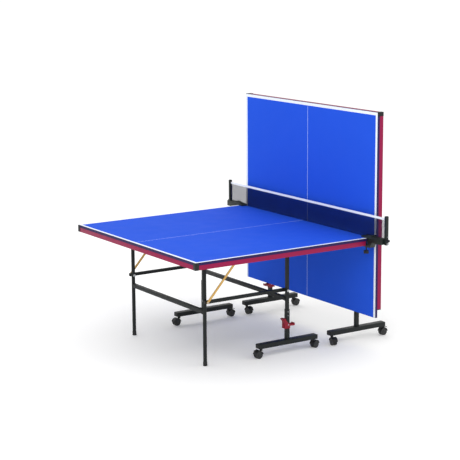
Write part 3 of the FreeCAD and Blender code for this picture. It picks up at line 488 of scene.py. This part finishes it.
def sweep(bm, path, radii, sides=8, closed=False):
    """A round rod along a path of points, with a radius at each point."""
    rings = []
    count = len(path)
    for i, point in enumerate(path):
        before = path[i - 1] if i or closed else path[0]
        after = path[(i + 1) % count] if i < count - 1 or closed else path[-1]
        tangent = (after - before).normalized()
        helper = Vector((0, 0, 1)) if abs(tangent.z) < 0.8 else Vector((1, 0, 0))
        across = tangent.cross(helper).normalized()
        upward = across.cross(tangent).normalized()
        ring = [point + radii[i] * (cosine * across + sine * upward) for cosine, sine in circle(sides)]
        rings.append([bm.verts.new(corner) for corner in ring])
    if closed:
        bridge(bm, rings + rings[:1])
        return
    bridge(bm, rings)
    bm.faces.new(rings[0][::-1])
    bm.faces.new(rings[-1])


# ---- the boards ----

LINE = 20 * MM
CENTRE = 3 * MM
EDGE_ROUND = 1.0 * MM
# The board's material slots.
PAINT, BORDER, CENTRE_LINE, RIM, BACK = range(5)


def board(half):
    """The painted board: lines are cut into the playing face, and the rim is banded."""
    low, high = local_box("near_top_panel")
    bm = bmesh.new()
    block(bm, low, high)
    cuts = [
        ((low.x + LINE, 0, 0), (1, 0, 0)),
        ((0, low.y + LINE, 0), (0, 1, 0)),
        ((0, high.y - LINE, 0), (0, 1, 0)),
        ((0, -CENTRE / 2, 0), (0, 1, 0)),
        ((0, CENTRE / 2, 0), (0, 1, 0)),
    ]
    for point, normal in cuts:
        whole = bm.verts[:] + bm.edges[:] + bm.faces[:]
        bmesh.ops.bisect_plane(bm, geom=whole, plane_co=point, plane_no=normal)
    for face in bm.faces:
        middle = face.calc_center_median()
        if face.normal.z > 0.5:
            on_border = middle.x < low.x + LINE or abs(middle.y) > high.y - LINE
            on_centre = abs(middle.y) < CENTRE / 2
            face.material_index = BORDER if on_border else CENTRE_LINE if on_centre else PAINT
        else:
            face.material_index = BACK if face.normal.z < -0.5 else RIM
    sharp = [e for e in bm.edges if e.calc_face_angle(0) > 1.0]
    bmesh.ops.bevel(
        bm, geom=sharp, offset=EDGE_ROUND, segments=3, profile=0.5, affect="EDGES", material=RIM
    )
    materials = [M["board"], M["white_line"], M["centre_line"], M["edge"], M["back"]]
    stands_for = (f"{half}_top_panel",)
    matrix = pose(half, "top")
    finish_piece(f"{half}_board", bm, materials, f"{half}_top", stands_for, matrix=matrix)


# ---- what the halves keep from the CAD ----

# Each part's bevel in millimetres, its material and its slot.
SHELLS = {
    "apron_rails": (0.9, "apron", "apron"),
    "corner_caps": (1.6, "black", "black_plastic"),
    "subframe": (0.6, "frame", "frame"),
    "brackets": (0.5, "frame", "frame"),
    "link_bars": (1.4, "frame", "frame"),
    "braces": (0.5, "zinc", "zinc"),
    "foot_beams": (1.9, "frame", "frame"),
    "beam_caps": (0.8, "black", "black_plastic"),
    "posts": (1.5, "frame", "frame"),
    "base_crossbar": (1.4, "frame", "frame"),
    "link_bolts": (0.8, "steel", "bolt"),
    "latch_housing": (0.8, "red", "red_plastic"),
    "latch_lever": (1.6, "red", "red_plastic"),
    "leg_frame": (0.6, "frame", "frame"),
}
HAS_PINS = ("brackets", "leg_frame")


def shells():
    for half in HALVES:
        for part, (width, material, slot) in SHELLS.items():
            pins = M["steel"] if part in HAS_PINS else None
            softened(f"{half}_{part}", width * MM, M[material], pins=pins)


# ---- feet, plugs and weld beads ----

FOOT_RIBS = 4
FOOT_RIB_PITCH = 4.6 * MM
FOOT_FIRST_RIB = 7.5 * MM
FOOT_GROOVE = 1.6 * MM
FOOT_MOUTH = LEG_RADIUS + 0.1 * MM


def leg_feet(half):
    """Ribbed rubber ferrules with a spread sole."""
    low, high = local_box("near_leg_feet")
    radius = (high.x - low.x) / 2
    height = high.z
    profile = [(0, 0), (radius - 3 * MM, 0), (radius - 0.8 * MM, 0.6 * MM)]
    profile += [(radius, 2 * MM), (radius, 6 * MM)]
    for i in range(FOOT_RIBS):
        z = FOOT_FIRST_RIB + i * FOOT_RIB_PITCH
        profile += [(radius - FOOT_GROOVE, z), (radius - FOOT_GROOVE, z + 1.6 * MM)]
        profile += [(radius - 0.5 * MM, z + 2.2 * MM), (radius - 0.5 * MM, z + 3.8 * MM)]
    profile += [(radius - 2 * MM, height - 1 * MM), (radius - 3.4 * MM, height)]
    profile += [(FOOT_MOUTH, height), (FOOT_MOUTH, height - 4 * MM)]
    bm = bmesh.new()
    for side in SIDES:
        lathe(bm, profile, ((low.x + high.x) / 2, side * (high.y - radius), 0))
    finish_piece(
        f"{half}_feet", bm, [M["rubber"]], f"{half}_legs", (f"{half}_leg_feet",),
        matrix=pose(half, "legs"),
    )


BEAD_OUT = 0.8 * MM
BEAD_LIFT = 0.6 * MM
BEAD_CORNER = 3 * MM
BEAD_STEPS = 14
CORNER_STEPS = 4


def beads(half):
    """Weld beads where the posts meet the beams, and where the crossbars meet their tubes."""
    beam_high = local_box("near_foot_beams")[1]
    bar_low, bar_high = local_box("near_base_crossbar")
    post_low, post_high = local_box("near_posts")
    half_post = (post_high.x - post_low.x) / 2
    half_bar = (bar_high.x - bar_low.x) / 2
    bm = bmesh.new()
    for side in SIDES:
        y = side * (post_high.y - half_post)
        bead_loop(bm, Vector((0, y, beam_high.z + BEAD_LIFT)), half_post + BEAD_OUT, "Z")
        middle = (bar_low.z + bar_high.z) / 2
        bead_loop(bm, Vector((0, side * (bar_high.y - BEAD_LIFT), middle)), half_bar + BEAD_OUT, "Y")
    matrix = pose(half, "base")
    finish_piece(f"{half}_base_welds", bm, [M["frame"]], f"{half}_base", matrix=matrix)
    bm = bmesh.new()
    for side in SIDES:
        centre = Vector((-LEG_REACH, side * (LEG_Y - LEG_RADIUS + 1.2 * MM), LEG_BAR_Z))
        bead_loop(bm, centre, half_bar + BEAD_OUT, "Y")
    matrix = pose(half, "legs")
    finish_piece(f"{half}_leg_welds", bm, [M["frame"]], f"{half}_legs", matrix=matrix)


def bead_loop(bm, centre, reach, axis):
    """A rippled bead round a square tube that runs along an axis."""
    flat = reach - BEAD_CORNER
    points = []
    for quarter in range(4):
        start = Vector((reach, -flat))
        turn = Matrix.Rotation(quarter * math.pi / 2, 2)
        for i in range(BEAD_STEPS):
            points.append(turn @ (start + Vector((0, 2 * flat * i / BEAD_STEPS))))
        pivot = Vector((flat, flat))
        for i in range(CORNER_STEPS):
            angle = math.pi / 2 * i / CORNER_STEPS
            points.append(turn @ (pivot + BEAD_CORNER * Vector((math.cos(angle), math.sin(angle)))))
    radii = [(1.5 + 0.35 * math.sin(i * 1.9) + 0.1 * random.random()) * MM for i in range(len(points))]
    if axis == "Z":
        path = [centre + Vector((p.x, p.y, 0)) for p in points]
    else:
        path = [centre + Vector((p.x, 0, p.y)) for p in points]
    sweep(bm, path, radii, closed=True)


PLUG_DEPTH = 1.6 * MM
PLUG_INSET = 0.4 * MM
LEG_PLUG = in_mm([
    (0, 1.5), (6, 1.3), (10, 0.9), (12, 0.2), (12.2, -0.4), (10.8, -0.6), (10.8, -6), (0, -6),
])


def domed_plug(bm, centre, half, direction):
    """A square push-in cap over the open end of a tube: direction points out of the tube."""
    across = [i for i in range(3) if not direction[i]]
    steps = (
        (half, 0.0), (half, 0.55 * PLUG_DEPTH), (half - 1.2 * MM, PLUG_DEPTH),
        (half - 5.0 * MM, 1.12 * PLUG_DEPTH),
    )
    rings = []
    for reach, rise in steps:
        ring = []
        for a, b in ((-1, -1), (1, -1), (1, 1), (-1, 1)):
            point = Vector(centre) + Vector(direction) * rise
            point[across[0]] += a * reach
            point[across[1]] += b * reach
            ring.append(bm.verts.new(point))
        rings.append(ring)
    bridge(bm, rings)
    bm.faces.new(rings[0])
    bm.faces.new(rings[-1])


def plugs(half):
    """Push-in caps on the open ends of the posts, the link bars and the leg tubes."""
    post_high = local_box("near_posts")[1]
    link_low, link_high = local_box("near_link_bars")
    leg_high = local_box("near_leg_frame")[1]
    half_link = (link_high.z - link_low.z) / 2
    posts, links, legs = bmesh.new(), bmesh.new(), bmesh.new()
    for side in SIDES:
        top = (0, side * (post_high.y - SLEEVE / 2), post_high.z)
        domed_plug(posts, top, POST / 2 - PLUG_INSET, (0, 0, 1))
        y = side * (link_high.y - half_link)
        for x, out in ((link_low.x, -1), (link_high.x, 1)):
            domed_plug(links, (x, y, LINK_Z), half_link - PLUG_INSET, (out, 0, 0))
        lathe(legs, LEG_PLUG, (-LEG_REACH, side * LEG_Y, leg_high.z))
    pieces = (("post", posts, "base", 30), ("link", links, "links", 30), ("leg", legs, "legs", 35))
    for name, bm, part, smooth in pieces:
        body = f"{half}_{part}"
        matrix = pose(half, part)
        name = f"{half}_{name}_plugs"
        finish_piece(name, bm, [M["black"]], body, smooth=smooth, matrix=matrix)


# ---- screws ----

PAN_HEAD = in_mm([(0, 2.1), (1.6, 2.05), (2.9, 1.75), (3.7, 1.1), (4.0, 0.4), (4.0, 0)])
CROSS_LONG, CROSS_WIDE = 2.4 * MM, 0.5 * MM
CROSS_FROM, CROSS_TO = 1.9 * MM, 2.2 * MM


def screw(bm, place, scale=1.0):
    """A pan head that hangs under a sheet, with the cross of its driver on it."""
    x, y, z = place
    lathe(bm, [(radius * scale, -depth * scale) for radius, depth in PAN_HEAD], place, segments=20)
    for wide, deep in ((CROSS_LONG, CROSS_WIDE), (CROSS_WIDE, CROSS_LONG)):
        half_x, half_y = wide / 2 * scale, deep / 2 * scale
        low = (x - half_x, y - half_y, z - CROSS_FROM * scale)
        high = (x + half_x, y + half_y, z - CROSS_TO * scale)
        block(bm, low, high)


def spread(low, high, count):
    """Evenly spaced places from one to another."""
    return [low + (high - low) * i / (count - 1) for i in range(count)]


def under_screws(half):
    """The screws that hold the rails, the straps and the brackets to the board."""
    panel_low, panel_high = local_box("near_top_panel")
    rail_low, rail_high = local_box("near_apron_rails")
    frame_low, frame_high = local_box("near_subframe")
    under = panel_low.z
    flange_middle = 10 * MM
    strap_reach = 440 * MM
    bm = bmesh.new()
    for side in SIDES:
        for x in spread(frame_low.x + 30 * MM, frame_high.x - 30 * MM, 6):
            screw(bm, (x, side * BEAM_RAIL_Y, under - CHANNEL_SHEET))
        for x in spread(rail_low.x + 70 * MM, rail_high.x - 50 * MM, 7):
            screw(bm, (x, side * (panel_high.y - flange_middle), under - RAIL_SHEET), scale=0.8)
        for x in (-22 * MM, 22 * MM):
            screw(bm, (x, side * (BEAM_RAIL_Y - 21 * MM), under - PLATE), scale=0.9)
        for x in (-LEG_REACH - 21 * MM, -LEG_REACH + 21 * MM):
            for y in (LEG_Y - 7 * MM, LEG_Y + 7 * MM):
                screw(bm, (x, side * y, under - CLEVIS_PLATE), scale=0.8)
    for y in spread(80 * MM - rail_high.y, rail_high.y - 80 * MM, 9):
        screw(bm, (rail_low.x + flange_middle, y, under - RAIL_SHEET), scale=0.8)
    for x in STRAPS_X:
        for y in spread(-strap_reach, strap_reach, 5):
            screw(bm, (x, y, under - CHANNEL_SHEET))
    finish_piece(f"{half}_screws", bm, [M["steel"]], f"{half}_top", matrix=pose(half, "top"))


# ---- latches ----

RIB_ENDS = [y * MM for y in (-14, -13, 13, 14)]
RIVET = in_mm([(0, 1.9), (2.2, 1.7), (3.8, 1.1), (4.6, 0.25), (2.6, 0.15), (2.6, -0.6), (0, -0.6)])
# A sprung button for a radius of 1, and what it stands out.
BUTTON_RADII = (0, 0.5, 0.85, 1, 1, 0)
BUTTON_OUT = (2.0, 1.8, 1.1, 0.1, -0.6, -0.6)


def rib(bm, spots, radius, end_radius):
    """A round rib with narrower ends."""
    sweep(bm, spots, [end_radius, radius, radius, end_radius])


def latch_details(half):
    """Grip ribs on the handle, and a riveted head on each side of its pivot."""
    low, high = local_box("near_latch_lever")
    middle = (low.y + high.y) / 2
    bm = bmesh.new()
    for z in spread(LATCH_Z - 19 * MM, LATCH_Z + 6.2 * MM, 7):
        rib(bm, [Vector((HANDLE_FACE, middle + y, z)) for y in RIB_ENDS], 0.95 * MM, 0.5 * MM)
    for x in spread(low.x + 3.5 * MM, low.x + 21.1 * MM, 5):
        rib(bm, [Vector((x, middle + y, high.z + 0.1 * MM)) for y in RIB_ENDS], 0.8 * MM, 0.4 * MM)
    matrix = pose(half, "base")
    name = f"{half}_latch_ribs"
    finish_piece(name, bm, [M["red"]], f"{half}_latch", smooth=60, matrix=matrix)
    bm = bmesh.new()
    reach = (high.y - low.y) / 2
    for side in SIDES:
        points = [(radius, side * (reach + out)) for radius, out in RIVET]
        lathe(bm, points, (0, middle, LATCH_Z), ALONG_Y, segments=24)
    finish_piece(f"{half}_latch_rivets", bm, [M["steel"]], f"{half}_base", matrix=matrix)


def post_buttons(half):
    """The sprung buttons that hold each post at its height."""
    post_high = local_box("near_posts")[1]
    bm = bmesh.new()
    for side in SIDES:
        for z, radius in ((SLEEVE_TOP - 18 * MM, 4.0 * MM), (SLEEVE_TOP - 43 * MM, 3.2 * MM)):
            points = [(share * radius, side * out * MM) for share, out in zip(BUTTON_RADII, BUTTON_OUT)]
            lathe(bm, points, (0, side * post_high.y, z), ALONG_Y, segments=24)
    name = f"{half}_post_buttons"
    finish_piece(name, bm, [M["steel"]], f"{half}_base", matrix=pose(half, "base"))


# ---- casters ----

# A wheel from its bore round the tread and across its outer face: (radius, distance from the middle
# of the caster). The tread's radii are measured inwards from the wheel's own radius.
TREAD = in_mm([
    (1.6, 5.0), (0.5, 5.5), (0, 6.6), (0, 10.4), (0.7, 10.8), (0.7, 11.8), (0, 12.2), (0, 15.0),
    (0.6, 16.4), (2.2, 17.0),
])
WHEEL_BORE = in_mm([(3.1, 5.0)])
WHEEL_FACE = in_mm([(21.5, 16.8), (19.5, 15.9), (13.5, 15.7), (11.8, 16.6), (9.6, 17.2)])
HUB_CAP = in_mm([(8.8, 18.3), (7.6, 18.5), (3.0, 18.5), (2.4, 18.0), (0, 17.9)])


def caster_wheels(name):
    """Twin wheels with a grooved tread, a dished face and a raised hub cap."""
    joint = JOINTS[f"{name}_roll"]
    centre = Vector(joint["pos_m"])
    across = Vector(joint["axis"])
    tread = [(centre.z - inset, distance) for inset, distance in TREAD]
    bm = bmesh.new()
    for side in SIDES:
        turn = (across * side).to_track_quat("Z", "Y").to_matrix().to_4x4()
        lathe(bm, WHEEL_BORE + tread + WHEEL_FACE + HUB_CAP, centre, turn, segments=56)
    stands_for = (f"{name}_caster_wheels",)
    finish_piece(f"{name}_tyres", bm, [M["tread"]], f"{name}_wheels", stands_for, smooth=32)


def casters():
    for joint in JOINTS:
        if not joint.endswith("_swivel"):
            continue
        name = joint.removesuffix("_swivel")
        softened(f"{name}_caster_fork", 0.5 * MM, M["black"], angle=45, pins=M["steel"])
        caster_wheels(name)
        if f"{name}_brake_lever" in frame["nodes"]:
            softened(f"{name}_brake_lever", 0.5 * MM, M["black"])


# ---- the net ----

NET_PITCH = 7.5 * MM
STRAND = 2.6 * MM
WEAVE = 0.2 * MM


def net_foot(y, low):
    """The bottom of the netting at a place along it: it steps up over the clamps."""
    reach = abs(y)
    if reach <= JAW_INNER:
        return low
    for (y0, z0), (y1, z1) in zip(CLAMP_TOP, CLAMP_TOP[1:]):
        if reach <= y1:
            return z0 + (z1 - z0) * (reach - y0) / (y1 - y0)
    return CLAMP_TOP[-1][1]


def runs_of(kept):
    """Splits (index, place) pairs where an index is left out."""
    runs = [[]]
    for i, y in kept:
        if runs[-1] and i != runs[-1][-1][0] + 1:
            runs.append([])
        runs[-1].append((i, y))
    return [run for run in runs if len(run) > 1]


def netting():
    """Square mesh: each strand is a thin rod that weaves past the ones it crosses."""
    low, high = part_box("net_mesh")
    x = (low.x + high.x) / 2
    columns = round((high.y - low.y - STRAND) / NET_PITCH)
    rows = round((high.z - low.z - STRAND) / NET_PITCH)
    ys = spread(low.y + STRAND / 2, high.y - STRAND / 2, columns + 1)
    zs = spread(low.z + STRAND / 2, high.z - STRAND / 2, rows + 1)
    bm = bmesh.new()
    for i, y in enumerate(ys):
        foot = net_foot(y, low.z) + STRAND / 2
        crossed = [(j, z) for j, z in enumerate(zs) if z > foot + 1 * MM]
        path = [Vector((x, y, foot))]
        path += [Vector((x + WEAVE * (-1) ** (i + j), y, z)) for j, z in crossed]
        sweep(bm, path, [STRAND / 2] * len(path), sides=4)
    for j, z in enumerate(zs):
        kept = [(i, y) for i, y in enumerate(ys) if net_foot(y, low.z) < z - 0.5 * MM]
        for run in runs_of(kept):
            path = [Vector((x - WEAVE * (-1) ** (i + j), y, z)) for i, y in run]
            sweep(bm, path, [STRAND / 2] * len(path), sides=4)
    net = finish_piece("netting", bm, [M["net"]], "near_top", ("net_mesh",), smooth=80)
    return net, (high.y - low.y, high.z - low.z)


TAPE_CLOTH = 0.5 * MM
TAPE_STEPS = 180
FOLD_STEPS = 8


def fold_arc(radius, middle, turned):
    """The points of the tape's top fold between its two sides, from one side to the other."""
    angles = [math.pi * i / FOLD_STEPS for i in range(1, FOLD_STEPS)]
    if turned:
        angles.reverse()
    return [(radius * math.cos(angle), middle + radius * math.sin(angle)) for angle in angles]


def tape():
    """The folded top tape, a little uneven along its length."""
    low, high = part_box("net_tape")
    x = (low.x + high.x) / 2
    half = (high.x - low.x) / 2
    inner = half - TAPE_CLOTH
    height = high.z - low.z
    middle = height - half
    outline = [(-half, 0), (-half, middle), *fold_arc(half, middle, True), (half, middle), (half, 0)]
    outline += [(inner, 0), (inner, middle), *fold_arc(inner, middle, False)]
    outline += [(-inner, middle), (-inner, 0)]
    bm = bmesh.new()
    rings = []
    for y in spread(low.y, high.y, TAPE_STEPS + 1):
        ripple = 0.15 * MM * math.sin(y * 23.0) + 0.1 * MM * math.sin(y * 71.0)
        ring = []
        for across, up in outline:
            shift = ripple * (1 - up / height)
            ring.append(bm.verts.new((x + across + 0.6 * shift, y, low.z + up + shift)))
        rings.append(ring)
    bridge(bm, rings)
    bm.faces.new(rings[0])
    bm.faces.new(rings[-1][::-1])
    piece = finish_piece("net_top_tape", bm, [M["tape"]], "near_top", ("net_tape",), smooth=60)
    stitches = bmesh.new()
    stitch_rows(stitches, low, high)
    sewn = finish_piece("tape_stitches", stitches, [M["cord"]], "near_top", smooth=60)
    return piece, sewn


STITCH = 3.6 * MM
STITCH_GAP = 1.8 * MM
STITCH_RADIUS = 0.28 * MM
STITCH_RISE = 2.6 * MM
STITCH_MARGIN = 4 * MM


def stitch_rows(bm, low, high):
    """One row of stitches on each side of the tape, just above its foot."""
    y = low.y + STITCH_MARGIN
    while y + STITCH < high.y - STITCH_MARGIN:
        for face, out in ((low.x, -1), (high.x, 1)):
            proud = face + out * 0.15 * MM
            sunk = face - out * 0.2 * MM
            ends = ((sunk, 0), (proud, 0.2), (proud, 0.8), (sunk, 1))
            path = [Vector((x, y + share * STITCH, low.z + STITCH_RISE)) for x, share in ends]
            sweep(bm, path, [STITCH_RADIUS] * len(path), sides=4)
        y += STITCH + STITCH_GAP


END_HEM = 2.2 * MM
END_HEM_INSET = 2.6 * MM
FOOT_HEM = 1.55 * MM
HEM_STEPS = 260


def hems():
    """Bound edges: a sleeve down each end of the netting, and a cord along its foot."""
    low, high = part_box("net_mesh")
    foot_of_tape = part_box("net_tape")[0].z
    x = (low.x + high.x) / 2
    bm = bmesh.new()
    for side in SIDES:
        y = side * (high.y - END_HEM_INSET)
        bottom = net_foot(y, low.z) + 1.2 * MM
        path = [Vector((x, y, z)) for z in (bottom, (bottom + foot_of_tape) / 2, foot_of_tape - 1 * MM)]
        sweep(bm, path, [END_HEM] * len(path), sides=12)
    path = []
    for y in spread(low.y + 3 * MM, high.y - 3 * MM, HEM_STEPS + 1):
        path.append(Vector((x, y, net_foot(y, low.z) + 1.6 * MM + 0.1 * MM * math.sin(y * 40))))
    sweep(bm, path, [FOOT_HEM] * len(path))
    return finish_piece("net_hems", bm, [M["net"]], "near_top", smooth=60)


# The raised panel of a clamp's arm: its reach from the centre plane, and its height.
PANEL_REACH = (0.782, 0.888)
PANEL_HEIGHT = (0.7435, 0.7695)
PANEL_PROUD = 1 * MM
# The ribs on a jaw run up its slope, from the tip at JAW_TIP.
JAW_TIP = (0.700, 0.769)
JAW_SLOPE = 8 / 63.3
JAW_RIBS = spread(0.712, 0.746, 5)


def clamp_panels():
    """Raised panels on both faces of each clamp's arm, and ribs on top of its jaw."""
    low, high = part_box("net_clamps")
    rib_ends = (low.x + 5 * MM, low.x + 7 * MM, high.x - 7 * MM, high.x - 5 * MM)
    bm = bmesh.new()
    for side in SIDES:
        y = sorted(side * reach for reach in PANEL_REACH)
        for face in (low.x, high.x):
            from_corner = (face - PANEL_PROUD, y[0], PANEL_HEIGHT[0])
            block(bm, from_corner, (face + PANEL_PROUD, y[1], PANEL_HEIGHT[1]))
        for reach in JAW_RIBS:
            top = JAW_TIP[1] + (reach - JAW_TIP[0]) * JAW_SLOPE
            rib(bm, [Vector((x, side * reach, top)) for x in rib_ends], 1.0 * MM, 0.5 * MM)
    bevel_sharp(bm, 0.6 * MM, angle=50)
    finish_piece("clamp_trim", bm, [M["clamp"]], "near_top", smooth=50)


def net_set():
    net, flat = netting()
    top, sewn = tape()
    hems()
    softened("net_cord", 0.1 * MM, M["cord"])
    softened("net_posts", 0.8 * MM, M["clamp"], pins=M["grey"])
    softened("net_clamps", 2.2 * MM, M["clamp"], segments=3)
    for knob in ("clamp_screw_left", "clamp_screw_right", "net_cord_knob"):
        softened(knob, 0.8 * MM, M["knob"])
    clamp_panels()


# ---- stage ----

def floor():
    """A pale floor that glows a little, so that it is as white as the world behind it."""
    bpy.ops.mesh.primitive_plane_add(size=400, location=(0, 0, 0))
    plane = bpy.context.object
    plane.name = "floor"
    paint = Shader("floor_paint", [0.93, 0.93, 0.93, 1.0], 0.9, Specular_IOR_Level=0.05)
    paint.set(paint.shader, "Emission Color", [1.0, 1.0, 1.0, 1.0])
    paint.set(paint.shader, "Emission Strength", 0.14)
    plane.data.materials.append(paint.material)


LAMPS = (
    ("key", (-4.5, -6.0, 6.5), 4.5, 150),
    ("fill", (5.0, -5.0, 4.5), 4.0, 50),
    ("back", (1.5, 6.5, 6.0), 5.0, 60),
)
LAMPS_AIM = Vector((0, 0, 0.7))


def lights():
    """A white world, and soft lamps with their places, widths and powers."""
    world = bpy.data.worlds.new("studio")
    bpy.context.scene.world = world
    world.use_nodes = True
    background = world.node_tree.nodes["Background"]
    background.inputs["Color"].default_value = (1, 1, 1, 1)
    background.inputs["Strength"].default_value = 1.0
    for name, place, size, power in LAMPS:
        data = bpy.data.lights.new(name, "AREA")
        data.size = size
        data.energy = power
        lamp = bpy.data.objects.new(name, data)
        lamp.location = place
        aim = LAMPS_AIM - Vector(place)
        lamp.rotation_euler = aim.to_track_quat("-Z", "Y").to_euler()
        bpy.context.scene.collection.objects.link(lamp)


# The camera's azimuth, elevation and roll, and its place, measured from the net line.
AZIMUTH = math.radians(-33.30)
ELEVATION = math.radians(11.08)
ROLL = -0.0066
NET_LINE_X = local_box("near_top_panel")[1].x + NEAR_X
CAMERA_PLACE = Vector((NET_LINE_X - 5.935, -8.095, 2.655))
LENS = 114.3


def camera():
    level = math.cos(ELEVATION)
    back = Vector((math.sin(AZIMUTH) * level, -math.cos(AZIMUTH) * level, math.sin(ELEVATION)))
    right = (-back).cross(Vector((0, 0, 1))).normalized()
    up = right.cross(-back)
    rolled_right = math.cos(ROLL) * right + math.sin(ROLL) * up
    rolled_up = -math.sin(ROLL) * right + math.cos(ROLL) * up
    data = bpy.data.cameras.new("camera")
    data.lens = LENS
    data.sensor_width = 36
    data.clip_end = 1000
    eye = bpy.data.objects.new("camera", data)
    rotation = Matrix((rolled_right, rolled_up, back)).transposed().to_4x4()
    eye.matrix_world = Matrix.Translation(CAMERA_PLACE) @ rotation
    bpy.context.scene.collection.objects.link(eye)
    bpy.context.scene.camera = eye


bpy.context.scene.view_settings.view_transform = "Standard"
floor()
lights()
camera()
shells()
for half in HALVES:
    board(half)
    leg_feet(half)
    beads(half)
    plugs(half)
    under_screws(half)
    latch_details(half)
    post_buttons(half)
casters()
net_set()
